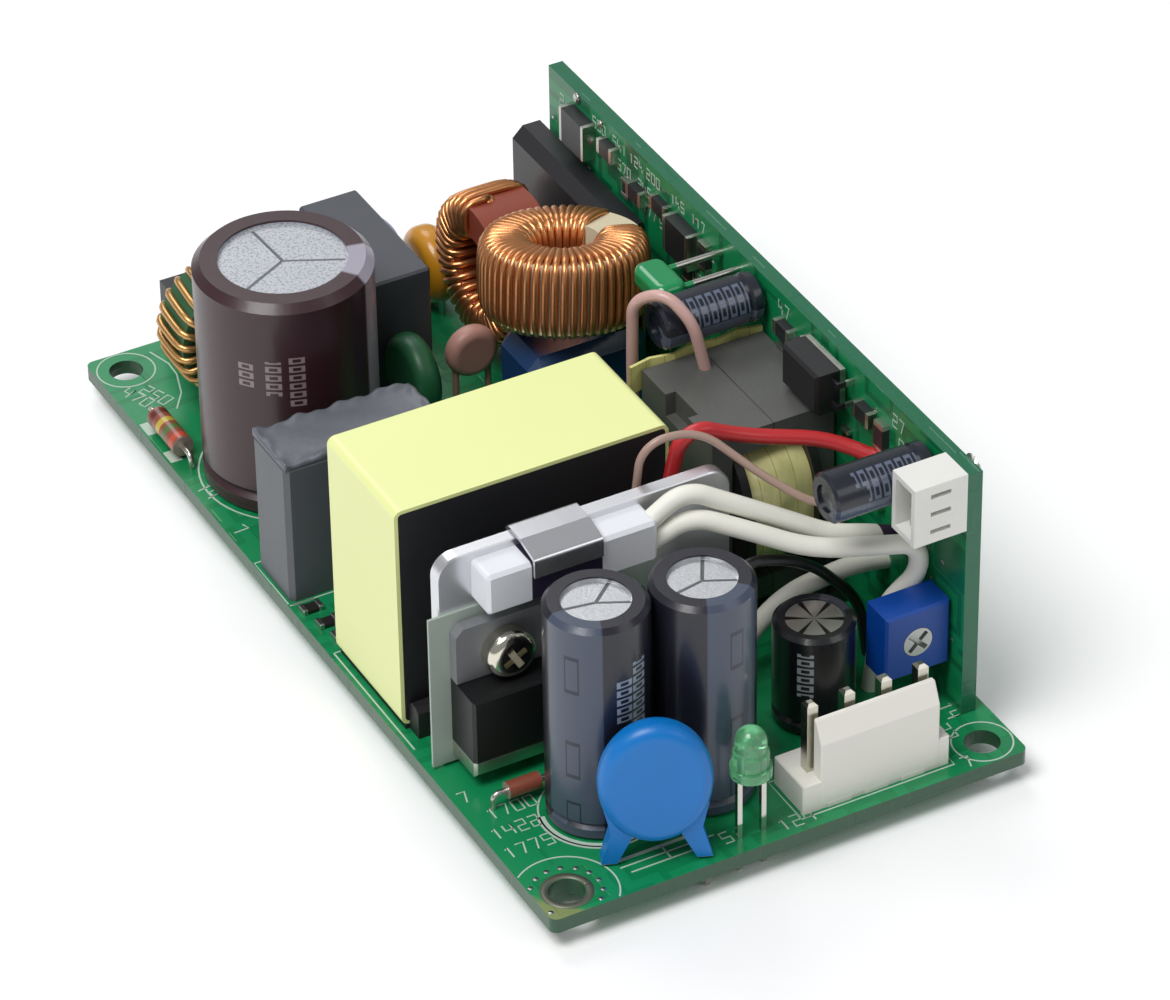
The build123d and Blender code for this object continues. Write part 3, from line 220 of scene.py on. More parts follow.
@dataclass(frozen=True)
class Finish:
    """A plain finish with slight shading and a fine relief, and bare metal where leads show.

    Attributes:
        name: What the material is and how it was made.
        colour: sRGB hex code.
        roughness: Roughness of the surface.
        metallic: 1 for bare metal.
        coat: Weight of a clear coat.
        grain: Size of the relief in millimetres.
        depth: Depth of the relief in millimetres.
        shading: Share by which the colour darkens in places.
        leads: Axis number, level and side (-1 below, 1 above) beyond which tinned leads show.
        patchy: How far the roughness varies from place to place.
        rough_patch: Grains across a patch of one roughness.
        shade_patch: Grains across a patch of one shade.
        bare_roughness: Roughness of the bare leads.
    """

    name: str
    colour: str
    roughness: float = 0.5
    metallic: float = 0.0
    coat: float = 0.0
    grain: float = 0.3
    depth: float = 0.01
    shading: float = 0.12
    leads: Optional[tuple[int, float, int]] = None
    patchy: float = 0.06
    rough_patch: float = 9.0
    shade_patch: float = 14.0
    bare_roughness: float = 0.3

    def make(self) -> bpy.types.Material:
        """Build the material.

        Returns:
            The material, with bare metal where the finish has any.
        """
        shader = Shader(self.name)
        colour = self.tone(shader)
        patches = shader.add("TexNoise", {0: shader.place, 2: 1 / (self.grain * self.rough_patch)})
        middle = self.roughness - self.patchy / 2
        rough = shader.add("Math", (patches, self.patchy, middle), operation="MULTIPLY_ADD")
        metal: Value = self.metallic
        bare = self.bare(shader)
        if bare:
            colour = shader.add("Mix", {0: bare, 6: colour, 7: self.metal(shader)}, **COLOURS)
            change = (bare, self.bare_roughness - self.roughness, self.roughness)
            rough = shader.add("Math", change, operation="MULTIPLY_ADD")
            metal = bare
        shader.set("Base Color", colour)
        shader.set("Roughness", rough)
        shader.set("Metallic", metal)
        if self.coat:
            shader.set("Coat Weight", self.coat)
            shader.set("Coat Roughness", 0.12)
        shader.relief(self.height(shader), self.depth)
        return shader.material

    def bare(self, shader: Shader) -> Optional[Socket]:
        """Find the bare leads.

        Args:
            shader: The material being built.

        Returns:
            A share that is 1 where bare metal shows, or None where it never does.
        """
        if not self.leads:
            return None
        axis, level, side = self.leads
        return shader.edge(shader.along(axis), level - side * BLUR, level + side * BLUR)

    def metal(self, shader: Shader) -> Value:
        """Give the colour of the bare metal."""
        return linear("#c9c7bf")

    def tone(self, shader: Shader) -> Socket:
        """Shade the colour in soft patches.

        Args:
            shader: The material being built.

        Returns:
            A colour.
        """
        scale = 1 / (self.grain * self.shade_patch)
        patches = shader.add("TexNoise", {0: shader.place, 2: scale, 3: 3})
        shades = {0: patches, 6: scaled(self.colour, 1 - self.shading), 7: linear(self.colour)}
        return shader.add("Mix", shades, **COLOURS)

    def height(self, shader: Shader) -> Socket:
        """Give the height of the relief from 0 to 1: noise of the grain's size."""
        return shader.add("TexNoise", {0: shader.place, 2: 1 / self.grain, 3: 3})


@dataclass(frozen=True)
class TwoTone(Finish):
    """A finish that changes colour between two levels along one axis.

    Attributes:
        second: The other colour.
        axis: Axis number.
        start: Level where the other colour begins.
        end: Level where it ends.
    """

    second: str = "#101010"
    axis: int = X
    start: float = 0.0
    end: float = 1.0

    def tone(self, shader: Shader) -> Socket:
        """Paint the band between start and end with the second colour.

        Args:
            shader: The material being built.

        Returns:
            A colour.
        """
        rise = (self.start - BLUR, self.start + BLUR)
        fall = (self.end + BLUR, self.end - BLUR)
        inside = shader.band(shader.along(self.axis), rise, fall)
        shades = {0: inside, 6: super().tone(shader), 7: linear(self.second)}
        return shader.add("Mix", shades, **COLOURS)


@dataclass(frozen=True)
class Laminate(Finish):
    """Glass epoxy board under green solder mask, with copper areas and bare sawn edges.

    Attributes:
        normal_axis: Axis number of the board's normal.
        copper: Colour where copper lies under the mask.
        fade: Colour towards which the mask fades over the board.
        edge: Colour of the sawn edge.
        worn: Board corner where the mask ends and the bare laminate shows.
        cell: Size of the square cells that the copper areas follow.
        lines: Copper edges in a cell's width.
    """

    normal_axis: int = Z
    copper: str = "#0f8550"
    fade: str = "#0a7c47"
    edge: str = "#234a31"
    worn: Optional[tuple[float, float]] = None
    cell: float = 6.5
    lines: float = 3.4

    def tracks(self, shader: Shader) -> Socket:
        """Measure the copper areas.

        The distance from the middles of scattered square cells, times the lines in a cell,
        and of that the part after the point. Copper lies where it passes about 0.38.

        Args:
            shader: The material being built.

        Returns:
            A number from 0 to 1.
        """
        cells = {0: shader.place, 2: 1 / self.cell}
        reach = shader.add("TexVoronoi", cells, distance="CHEBYCHEV", feature="F1")
        wave = shader.add("Math", (reach, self.lines), operation="MULTIPLY")
        return shader.add("Math", (wave,), operation="FRACT")

    def corner(self, shader: Shader, mask: Socket) -> Socket:
        """Wear the mask off one corner of the board, with a ragged edge.

        Args:
            shader: The material being built.
            mask: Colour of the mask.

        Returns:
            The colour with bare laminate at the corner.
        """
        away = [shader.distance(shader.along(axis), self.worn[axis]) for axis in (X, Y)]
        lumps = shader.add("TexNoise", {0: shader.place, 2: 1 / 1.5})
        ragged = shader.add("Math", (lumps, 2.4), operation="MULTIPLY")
        near = shader.add("Math", away, operation="ADD")
        near = shader.add("Math", (near, ragged), operation="ADD")
        shades = {0: shader.edge(near, 5.4, 4.2), 6: mask, 7: linear("#7c8a55")}
        return shader.add("Mix", shades, **COLOURS)

    def tone(self, shader: Shader) -> Socket:
        """Draw copper areas with straight edges and thin gaps, and colour the edges apart.

        Args:
            shader: The material being built.

        Returns:
            A colour.
        """
        track = shader.edge(self.tracks(shader), 0.36, 0.4)
        fade = shader.add("TexNoise", {0: shader.place, 2: 1 / 30.0, 3: 1})
        shades = {0: fade, 6: linear(self.colour), 7: linear(self.fade)}
        base = shader.add("Mix", shades, **COLOURS)
        mask = shader.add("Mix", {0: track, 6: base, 7: linear(self.copper)}, **COLOURS)
        if self.worn:
            mask = self.corner(shader, mask)
        normal = shader.add("NewGeometry", out=3)
        across = shader.add("SeparateXYZ", (normal,), out=self.normal_axis)
        flat = shader.add("Math", (across,), operation="ABSOLUTE")
        weave = shader.add("TexNoise", {0: shader.place, 2: 1 / 0.3})
        shades = {0: weave, 6: linear(self.edge), 7: scaled(self.edge, 1.35)}
        sawn = shader.add("Mix", shades, **COLOURS)
        return shader.add("Mix", {0: shader.edge(flat, 0.5, 0.7), 6: sawn, 7: mask}, **COLOURS)

    def height(self, shader: Shader) -> Socket:
        """Raise the mask where copper lies under it."""
        return shader.edge(self.tracks(shader), 0.34, 0.42)


@dataclass(frozen=True)
class OnCan(Finish):
    """A finish whose pattern follows the axis of a round can.

    Attributes:
        across: Two axis numbers across the can.
        centre: Middle of the can on those two axes.
    """

    across: tuple[int, int] = (X, Y)
    centre: tuple[float, float] = (0.0, 0.0)

    def level(self, shader: Shader) -> Socket:
        """Give the coordinate along the can, on the axis that isn't across it."""
        return shader.along(X + Y + Z - sum(self.across))

    def offsets(self, shader: Shader) -> list[Socket]:
        """Give the two distances from the can's middle, with their signs."""
        pairs = [(shader.along(axis), self.centre[k]) for k, axis in enumerate(self.across)]
        return [shader.add("Math", pair, operation="SUBTRACT") for pair in pairs]

    def reach(self, shader: Shader) -> Socket:
        """Measure the distance from the can's middle, the root of the sum of the squares.

        Args:
            shader: The material being built.

        Returns:
            Millimetres.
        """
        one, two = self.offsets(shader)
        square = shader.add("Math", (two, two), operation="MULTIPLY")
        squares = shader.add("Math", (one, one, square), operation="MULTIPLY_ADD")
        return shader.add("Math", (squares,), operation="SQRT")

    def turned(self, shader: Shader, heading: float) -> tuple[Socket, Socket]:
        """Measure a point against a direction from the can's middle.

        Args:
            shader: The material being built.
            heading: Direction in degrees.

        Returns:
            Distance ahead in that direction, and the offset at right angles to it.
        """
        one, two = self.offsets(shader)
        c, s = math.cos(math.radians(heading)), math.sin(math.radians(heading))
        rise = shader.add("Math", (two, s), operation="MULTIPLY")
        ahead = shader.add("Math", (one, c, rise), operation="MULTIPLY_ADD")
        run = shader.add("Math", (two, c), operation="MULTIPLY")
        return ahead, shader.add("Math", (one, -s, run), operation="MULTIPLY_ADD")


@dataclass(frozen=True)
class Sleeve(OnCan):
    """Shrunk sleeve on a round can, with a polarity stripe and plain printed marks.

    Attributes:
        heading: Direction of the stripe in degrees.
        half_width: Half the stripe's width in degrees.
        stripe: Colour of the stripe.
        ink: Colour of the marks on the dark side.
        marks: Level and length of each framed mark on the stripe along the can.
        lines: Direction in degrees, level and length of each row of printed frames.
        top: Radius and level of a bare can top that the same node carries, or None.
        mark_width: Width of a mark on the stripe.
        pitch: Pitch of the printed frames in a row.
        tall: Half the height of a printed frame.
        long: Half its length, as a share of the pitch.
        arms: Scored arms on the bare can top.
    """

    heading: float = 0.0
    half_width: float = 35.0
    stripe: str = "#7485a0"
    ink: str = "#8d95a5"
    marks: tuple[tuple[float, float], ...] = ()
    lines: tuple[tuple[float, float, float], ...] = ()
    top: Optional[tuple[float, float]] = None
    mark_width: float = 1.5
    pitch: float = 1.0
    tall: float = 0.8
    long: float = 0.36
    arms: int = 6

    def facing(self, shader: Shader, heading: float) -> tuple[Socket, Socket]:
        """Measure how far a point on the sleeve faces a direction.

        Args:
            shader: The material being built.
            heading: Direction in degrees.

        Returns:
            Cosine of the angle to the direction, and the offset at right angles to it.
        """
        ahead, aside = self.turned(shader, heading)
        reach = shader.add("Math", (self.reach(shader), 0.01), operation="MAXIMUM")
        return shader.add("Math", (ahead, reach), operation="DIVIDE"), aside

    def frame_distance(self, shader: Shader, aside: Socket, off: Socket, half: tuple) -> Socket:
        """Measure how far a point is from a frame's middle.

        The larger of the offset by half the width and the distance along by half the length,
        so that it is 1 on the frame's border.

        Args:
            shader: The material being built.
            aside: Offset across the frame.
            off: Distance along it.
            half: Half its width and half its length.

        Returns:
            The distance.
        """
        size = shader.add("Math", (aside,), operation="ABSOLUTE")
        wide = shader.add("Math", (size, half[0]), operation="DIVIDE")
        deep = shader.add("Math", (off, half[1]), operation="DIVIDE")
        return shader.add("Math", (wide, deep), operation="MAXIMUM")

    def mark(self, shader: Shader, aside: Socket, level: float, length: float) -> Socket:
        """Draw one framed mark.

        Args:
            shader: The material being built.
            aside: Offset from the middle of the stripe.
            level: Middle of the mark along the can.
            length: Its length.

        Returns:
            A share that is 1 on the frame's line.
        """
        off = shader.distance(self.level(shader), level)
        far = self.frame_distance(shader, aside, off, (self.mark_width / 2, length / 2))
        return shader.band(far, (0.78, 0.84), (1.04, 0.98))

    def row(self, shader: Shader, heading: float, level: float, length: float) -> Socket:
        """Draw a row of equal printed frames, one in each pitch along the can.

        Args:
            shader: The material being built.
            heading: Direction of the row in degrees.
            level: Middle of the row along the can.
            length: Its length.

        Returns:
            A share that is 1 on the frames' lines.
        """
        ahead, aside = self.facing(shader, heading)
        along = self.level(shader)
        steps = shader.add("Math", (along, self.pitch), operation="DIVIDE")
        beat = shader.add("Math", (steps,), operation="FRACT")
        off = shader.distance(beat, 0.5)
        far = self.frame_distance(shader, aside, off, (self.tall, self.long))
        ring = shader.band(far, (0.48, 0.56), (1.04, 0.96))
        inside = shader.edge(shader.distance(along, level), length / 2 + 0.02, length / 2)
        within = shader.add("Math", (ring, inside), operation="MULTIPLY")
        near = shader.edge(ahead, 0.2, 0.3)
        return shader.add("Math", (within, near), operation="MULTIPLY")

    def tone(self, shader: Shader) -> Socket:
        """Paint the stripe, the framed marks on it and the rows beside it.

        Args:
            shader: The material being built.

        Returns:
            A colour.
        """
        near, aside = self.facing(shader, self.heading)
        limit = math.cos(math.radians(self.half_width))
        on_stripe = shader.edge(near, limit - 0.01, limit + 0.01)
        shades = {0: on_stripe, 6: super().tone(shader), 7: linear(self.stripe)}
        colour = shader.add("Mix", shades, **COLOURS)
        for level, length in self.marks:
            line_share = self.mark(shader, aside, level, length)
            drawn = shader.add("Math", (line_share, on_stripe), operation="MULTIPLY")
            colour = shader.add("Mix", {0: drawn, 6: colour, 7: linear("#1c2230")}, **COLOURS)
        for heading, level, length in self.lines:
            drawn = self.row(shader, heading, level, length)
            colour = shader.add("Mix", {0: drawn, 6: colour, 7: linear(self.ink)}, **COLOURS)
        return colour

    def bare(self, shader: Shader) -> Optional[Socket]:
        """Find the bare can top.

        Args:
            shader: The material being built.

        Returns:
            A share that is 1 on the top, or None where the can is a node of its own.
        """
        if not self.top:
            return None
        radius, level = self.top
        inside = shader.edge(self.reach(shader), radius + BLUR, radius - BLUR)
        above = shader.edge(self.level(shader), level - BLUR, level + BLUR)
        return shader.add("Math", (inside, above), operation="MULTIPLY")

    def metal(self, shader: Shader) -> Value:
        """Darken the scored arms on the can top with painted shade, evenly spaced by angle.

        Args:
            shader: The material being built.

        Returns:
            A colour.
        """
        one, two = self.offsets(shader)
        angle = shader.add("Math", (two, one), operation="ARCTAN2")
        steps = shader.add("Math", (angle, self.arms / (2 * math.pi)), operation="MULTIPLY")
        beat = shader.add("Math", (steps,), operation="FRACT")
        scored_arm_shade = shader.edge(shader.distance(beat, 0.5), 0.12, 0.07)
        # Painted shade in the scored arms
        return shader.add("Mix", {0: scored_arm_shade, 6: linear("#d6d4cf"), 7: linear("#3c3b3a")}, **COLOURS)


@dataclass(frozen=True)
class CanTop(OnCan):
    """Bare drawn aluminium can top with scored vent lines, darkened with painted shade.

    Attributes:
        scores: Direction in degrees of each scored line from the middle.
        length: Length of the lines.
        grit: Share of dark grains.
        grit_size: Size of a grain, drawn as coarse as it needs to show.
    """

    scores: tuple[float, ...] = (20.0, 140.0, 260.0)
    length: float = 3.6
    grit: float = 0.0
    grit_size: float = 0.28

    def groove(self, shader: Shader) -> Value:
        """Find the scored lines.

        Args:
            shader: The material being built.

        Returns:
            A share that is 1 on a line.
        """
        drawn: Value = 0.0
        for heading in self.scores:
            ahead, aside = self.turned(shader, heading)
            off = shader.add("Math", (aside,), operation="ABSOLUTE")
            thin = shader.edge(off, 0.2, 0.08)
            span = shader.band(ahead, (-0.1, 0.1), (self.length, self.length - 0.3))
            score = shader.add("Math", (thin, span), operation="MULTIPLY")
            drawn = shader.add("Math", (drawn, score), operation="MAXIMUM")
        return drawn

    def tone(self, shader: Shader) -> Socket:
        """Darken the scored lines with painted shade and sprinkle grains.

        Args:
            shader: The material being built.

        Returns:
            A colour.
        """
        base = super().tone(shader)
        lumps = shader.add("TexNoise", {0: shader.place, 2: 1 / self.grit_size, 3: 1})
        grains = shader.edge(lumps, 0.5, 0.62)
        speck = shader.add("Math", (grains, self.grit), operation="MULTIPLY")
        base = shader.add("Mix", {0: speck, 6: base, 7: linear("#7f8790")}, **COLOURS)
        # Painted shade: the scored grooves are darkened to a grey
        shades = {0: self.groove(shader), 6: base, 7: linear("#6c6e70")}
        return shader.add("Mix", shades, **COLOURS)

    def height(self, shader: Shader) -> Socket:
        """Sink the scored lines into a faint relief.

        Args:
            shader: The material being built.

        Returns:
            The height of the relief.
        """
        lumps = shader.add("TexNoise", {0: shader.place, 2: 1 / self.grain})
        fine = shader.add("Math", (lumps, 0.25), operation="MULTIPLY")
        return shader.add("Math", (fine, self.groove(shader)), operation="SUBTRACT")


@dataclass(frozen=True)
class Brushed(Finish):
    """Metal drawn or brushed along one direction.

    Attributes:
        drawn: Factors on the three axes, smallest along the brushing.
    """

    drawn: tuple[float, float, float] = (0.08, 1.0, 1.0)

    def height(self, shader: Shader) -> Socket:
        """Stretch the relief along the brushing."""
        long = shader.add("VectorMath", (shader.place, self.drawn), operation="MULTIPLY")
        return shader.add("TexNoise", {0: long, 2: 1 / self.grain, 3: 3})


@dataclass(frozen=True)
class Banded(Finish):
    """Lacquered bodies between bare ends, with colour bands where it has any.

    Attributes:
        axis: Axis number along the banded body.
        bands: Level and colour of each band.
        width: Width of a band.
        bodies: Axis number, middle and half length of each body, and its lowest and highest Y.
    """

    axis: int = Y
    bands: tuple[tuple[float, str], ...] = ()
    width: float = 0.8
    bodies: tuple[tuple[int, float, float, float, float], ...] = ()

    def bare(self, shader: Shader) -> Optional[Socket]:
        """Find what lies outside every body.

        Args:
            shader: The material being built.

        Returns:
            A share that is 1 on bare metal.
        """
        kept: Value = 0.0
        for axis, middle, half, low, high in self.bodies:
            off = shader.distance(shader.along(axis), middle)
            inside = shader.edge(off, half + BLUR, half - BLUR)
            row = shader.band(shader.along(Y), (low - BLUR, low), (high + BLUR, high))
            body = shader.add("Math", (inside, row), operation="MULTIPLY")
            kept = shader.add("Math", (kept, body), operation="MAXIMUM")
        return shader.add("Math", (1.0, kept), operation="SUBTRACT")

    def tone(self, shader: Shader) -> Socket:
        """Paint the bands one by one.

        Args:
            shader: The material being built.

        Returns:
            A colour.
        """
        colour = super().tone(shader)
        for level, code in self.bands:
            off = shader.distance(shader.along(self.axis), level)
            inside = shader.edge(off, self.width / 2 + BLUR, self.width / 2 - BLUR)
            colour = shader.add("Mix", {0: inside, 6: colour, 7: linear(code)}, **COLOURS)
        return colour


@dataclass(frozen=True)
class Wrapped(Finish):
    """Thin tape wound over a coil, with creases darkened by painted shade and a dark line at each
    lap.

    Attributes:
        lap: Width of a lap in millimetres.
        fold_shade: Painted shade colour in the folds.
        seam: Colour of the lap lines.
    """

    lap: float = 1.9
    fold_shade: str = "#cfc77e"
    seam: str = "#a8a158"

    def tone(self, shader: Shader) -> Socket:
        """Paint shade into the creases and darken the lap lines.

        Args:
            shader: The material being built.

        Returns:
            A colour.
        """
        long = shader.add("VectorMath", (shader.place, (1.0, 0.35, 0.35)), operation="MULTIPLY")
        # Painted shade: a noise pattern stretched along the coil darkens the folds
        fold_shade_noise = shader.add("TexNoise", {0: long, 2: 1 / 1.8, 3: 3})
        shades = {0: fold_shade_noise, 6: linear(self.fold_shade), 7: linear(self.colour)}
        base = shader.add("Mix", shades, **COLOURS)
        laps = shader.add("Math", (shader.along(X), self.lap), operation="DIVIDE")
        beat = shader.add("Math", (laps,), operation="FRACT")
        seam = shader.edge(beat, 0.06, 0.01)
        return shader.add("Mix", {0: seam, 6: base, 7: linear(self.seam)}, **COLOURS)

    def height(self, shader: Shader) -> Socket:
        """Crease the tape across its laps."""
        long = shader.add("VectorMath", (shader.place, (1.0, 0.3, 0.3)), operation="MULTIPLY")
        return shader.add("TexNoise", {0: long, 2: 1 / 1.1})


@dataclass(frozen=True)
class Clear(Finish):
    """Tinted clear epoxy.

    Attributes:
        passing: Share of light that passes through.
    """

    passing: float = 0.55

    def make(self) -> bpy.types.Material:
        """Build the material.

        Returns:
            The material, bare metal where the leads leave the epoxy.
        """
        shader = Shader(self.name)
        bare = self.bare(shader)
        shades = {0: bare, 6: linear(self.colour), 7: linear("#cfcdc5")}
        shader.set("Base Color", shader.add("Mix", shades, **COLOURS))
        shader.set("Metallic", bare)
        shader.set("Roughness", self.roughness)
        shader.set("IOR", 1.54)
        kept = shader.add("Math", (1.0, bare), operation="SUBTRACT")
        passing = shader.add("Math", (kept, self.passing), operation="MULTIPLY")
        shader.set("Transmission Weight", passing)
        lumps = shader.add("TexNoise", {0: shader.place, 2: 1 / self.grain})
        shader.relief(lumps, self.depth)
        return shader.material


class Surface:
    """Vertices and faces that are gathered before they become one mesh object."""

    def __init__(self) -> None:
        """Start with nothing."""
        self.points: list[np.ndarray] = []
        self.faces: list[list[int]] = []
        self.count = 0

    def add(self, points: np.ndarray, faces: Sequence[Sequence[int]]) -> None:
        """Add one closed shell and turn its faces outwards.

        Args:
            points: Vertices in millimetres.
            faces: Vertex numbers of each face.
        """
        fan = [(f[0], f[i], f[i + 1]) for f in faces for i in range(1, len(f) - 1)]
        a, b, c = (points[np.array(fan)[:, i]] for i in range(3))
        inside_out = np.einsum("ij,ij->i", a, np.cross(b, c)).sum() < 0
        for face in faces:
            order = list(face)[::-1] if inside_out else list(face)
            self.faces.append([int(i) + self.count for i in order])
        self.points.append(points)
        self.count += len(points)

    def build(
        self,
        name: str,
        finish: Finish,
        slot: str,
        smooth: bool = True,
        replaces: Sequence[str] = (),
    ) -> None:
        """Write the mesh object, which rides on the supply's body.

        Args:
            name: Name of the piece.
            finish: Its finish.
            slot: Material slot in the record. Not used.
            smooth: Whether faces are shaded smooth.
            replaces: CAD nodes that it stands for.
        """
        mesh = bpy.data.meshes.new(name)
        mesh.from_pydata((np.concatenate(self.points) * MM).tolist(), [], self.faces)
        mesh.polygons.foreach_set("use_smooth", np.full(len(self.faces), smooth))
        mesh.materials.append(finish.make())
        mesh.update()
        piece = bpy.data.objects.new(name, mesh)
        bpy.context.scene.collection.objects.link(piece)
        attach(piece, BODY)
        if replaces:
            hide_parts(*replaces)
        LOG.info("built %s with %d faces", name, len(self.faces))


def grid_faces(rows: int, columns: int, wrap: bool) -> list[list[int]]:
    """Number the quads of a grid whose columns close into a ring.

    Args:
        rows: Rings along the surface.
        columns: Points in each ring.
        wrap: Whether the last ring joins the first; otherwise both ends are closed.

    Returns:
        Faces as vertex numbers.
    """
    i, j = np.meshgrid(np.arange(rows if wrap else rows - 1), np.arange(columns), indexing="ij")
    below, right = (i + 1) % rows, (j + 1) % columns
    quads = np.stack(
        [i * columns + j, i * columns + right, below * columns + right, below * columns + j], -1
    )
    faces = quads.reshape(-1, 4).tolist()
    if not wrap:
        last = (rows - 1) * columns
        faces.append(list(range(columns))[::-1])
        faces.append([last + k for k in range(columns)])
    return faces


def tube(path: np.ndarray, radius: float, sides: int, reference: np.ndarray) -> Shell:
    """Sweep a circle along an open path.

    The circle stands at right angles to the path: one of its axes is the reference direction
    with its part along the path taken away, and the other is their cross product.

    Args:
        path: Points of the path.
        radius: Radius of the circle.
        sides: Points on the circle.
        reference: One direction, or one for each point.

    Returns:
        Points and faces.
    """
    ahead = np.gradient(path, axis=0)
    ahead /= np.linalg.norm(ahead, axis=1, keepdims=True)
    side = np.broadcast_to(reference, path.shape)
    side = side - ahead * np.einsum("ij,ij->i", side, ahead)[:, None]
    side /= np.linalg.norm(side, axis=1, keepdims=True)
    other = np.cross(ahead, side)
    turn = np.linspace(0, 2 * math.pi, sides, endpoint=False)
    c, s = np.cos(turn)[None, :, None], np.sin(turn)[None, :, None]
    points = path[:, None] + radius * (c * side[:, None] + s * other[:, None])
    return points.reshape(-1, 3), grid_faces(len(path), sides, False)


def lathe(profile: np.ndarray, base: np.ndarray, axis: np.ndarray, sides: int) -> Shell:
    """Turn a profile round an axis.

    A point is the base, plus its height along the axis, plus its radius along a direction that
    turns evenly round the axis.

    Args:
        profile: Radius and height of each ring.
        base: Point where the height is 0.
        axis: Unit direction of the height.
        sides: Points in each ring.

    Returns:
        Points and faces.
    """
    helper = np.array([1.0, 0, 0]) if abs(axis[0]) < 0.9 else np.array([0, 1.0, 0])
    one = np.cross(axis, helper)
    one /= np.linalg.norm(one)
    two = np.cross(axis, one)
    turn = np.linspace(0, 2 * math.pi, sides, endpoint=False)
    out = np.cos(turn)[:, None] * one + np.sin(turn)[:, None] * two
    points = base + profile[:, 1, None, None] * axis + profile[:, 0, None, None] * out[None]
    return points.reshape(-1, 3), grid_faces(len(profile), sides, False)


class Side(Enum):
    """The four board faces that carry print, pads or chips."""

    MAIN_TOP = "main top"
    MAIN_BOTTOM = "main bottom"
    INNER = "side board inner face"
    OUTER = "side board outer face"

    def lift(self, flat: np.ndarray, height: Union[float, np.ndarray]) -> np.ndarray:
        """Carry flat points onto the face.

        Args:
            flat: Two numbers a point: X and Y, or Y and the height over the main board.
            height: Distance off the face.

        Returns:
            Points in the row frame.
        """
        u, v = flat[..., 0], flat[..., 1]
        off = np.broadcast_to(height, u.shape)
        if self is Side.MAIN_TOP:
            return np.stack([u, v, BOARD_TOP + off], -1)
        if self is Side.MAIN_BOTTOM:
            return np.stack([u, v, BOARD_BOTTOM - off], -1)
        if self is Side.INNER:
            return np.stack([SIDE_FACE - off, u, BOARD_TOP + v], -1)
        return np.stack([SIDE_FACE + SIDE_THICKNESS + off, u, BOARD_TOP + v], -1)


def strip(side: Side, path: np.ndarray, width: float, thickness: float = 0.03) -> Shell:
    """Lay a thin flat strip along a path on a board face.

    Both borders are the path moved by half the width at right angles to its direction.

    Args:
        side: The board face.
        path: Flat points of the path.
        width: Width of the strip.
        thickness: How far it stands off the face.

    Returns:
        Points and faces.
    """
    ahead = np.gradient(path, axis=0)
    ahead /= np.linalg.norm(ahead, axis=1, keepdims=True)
    across = np.stack([-ahead[:, 1], ahead[:, 0]], -1) * width / 2
    left, right = path + across, path - across
    rings = [
        side.lift(left, 0.0),
        side.lift(left, thickness),
        side.lift(right, thickness),
        side.lift(right, 0.0),
    ]
    return np.stack(rings, 1).reshape(-1, 3), grid_faces(len(path), 4, False)


def arc(x: float, y: float, radius: float, start: float = 0.0, end: float = 360.0) -> np.ndarray:
    """Give flat points of an arc, evenly spaced by angle.

    Args:
        x: First coordinate of its middle.
        y: Second coordinate of its middle.
        radius: Its radius.
        start: First angle in degrees.
        end: Last angle in degrees.

    Returns:
        Points about six degrees apart, and at least eight of them.
    """
    count = max(8, int(abs(end - start) / 6))
    turn = np.radians(np.linspace(start, end, count))
    return np.stack([x + radius * np.cos(turn), y + radius * np.sin(turn)], -1)


def line(*corners: tuple[float, float]) -> np.ndarray:
    """Give flat points of straight runs from corner to corner."""
    return np.array(corners, float)


def disc(side: Side, x: float, y: float, radius: float, height: float) -> Shell:
    """Give a thin round pad: a circle on the face and a smaller one above it.

    Args:
        side: The board face.
        x: First flat coordinate of its middle.
        y: Second flat coordinate of its middle.
        radius: Its radius.
        height: How far it stands off the face, and how much smaller its top is.

    Returns:
        Points and faces.
    """
    edge = arc(x, y, radius)[:-1]
    inner = arc(x, y, radius - height)[:-1]
    rings = np.concatenate([side.lift(edge, 0.0), side.lift(inner, height)])
    return rings, grid_faces(2, len(edge), False)


def chip(side: Side, at: tuple[float, float], size: tuple[float, float, float]) -> Shell:
    """Give a small block: an outline with cut corners at three levels, smaller at the top.

    Args:
        side: The board face.
        at: Flat place of its middle.
        size: Its two flat sizes and its height.

    Returns:
        Points and faces.
    """
    wide, deep, tall = size
    cut = 0.12 * min(wide, deep)
    near = np.array([[-wide / 2 + cut, -deep / 2], [wide / 2 - cut, -deep / 2]])
    right = np.array([[wide / 2, -deep / 2 + cut], [wide / 2, deep / 2 - cut]])
    outline = np.concatenate([near, right, -near, -right])
    bevel = min(cut, tall / 4)
    shrink = 1 - 2 * bevel / min(wide, deep)
    levels = [(0.0, 1.0), (tall - bevel, 1.0), (tall, shrink)]
    rings = [side.lift(np.array(at) + outline * share, level) for level, share in levels]
    return np.concatenate(rings), grid_faces(len(levels), 8, False)


# Clear enamel over drawn copper: orange metal with a soft gloss
COPPER = Finish(
    "enamelled_copper_wire", "#e39c66", roughness=0.3, metallic=0.9, grain=0.5, shading=0.25
)
# The paler enamel of the line choke: golden rather than orange
GOLD_COPPER = Finish(
    "pale_enamelled_wire", "#d3a468", roughness=0.32, metallic=0.85, grain=0.5, shading=0.2
)
# Solder that flowed and set: bright, slightly wavy and neutral in colour
TIN = Finish("tinned_solder", "#c4c3bd", roughness=0.3, metallic=1.0, grain=0.4, depth=0.03)
# Mill finish sheet: pale, with a faint grain along the rolling
PLATE = Brushed(
    "rolled_aluminium_plate",
    "#dfe0e4",
    roughness=0.3,
    metallic=0.85,
    grain=0.5,
    depth=0.004,
    shading=0.04,
    patchy=0.02,
)
# Plating gone dull round the screw holes: a dark greenish grey with little shine
WORN_PAD = Finish("dull_plated_ring", "#6f7263", roughness=0.45, metallic=0.5, grain=0.3)
# Screen printed ink: matt, and a little green because the mask shows through
INK = Finish("printed_white_ink", "#b9cbbd", roughness=0.6, grain=0.2)


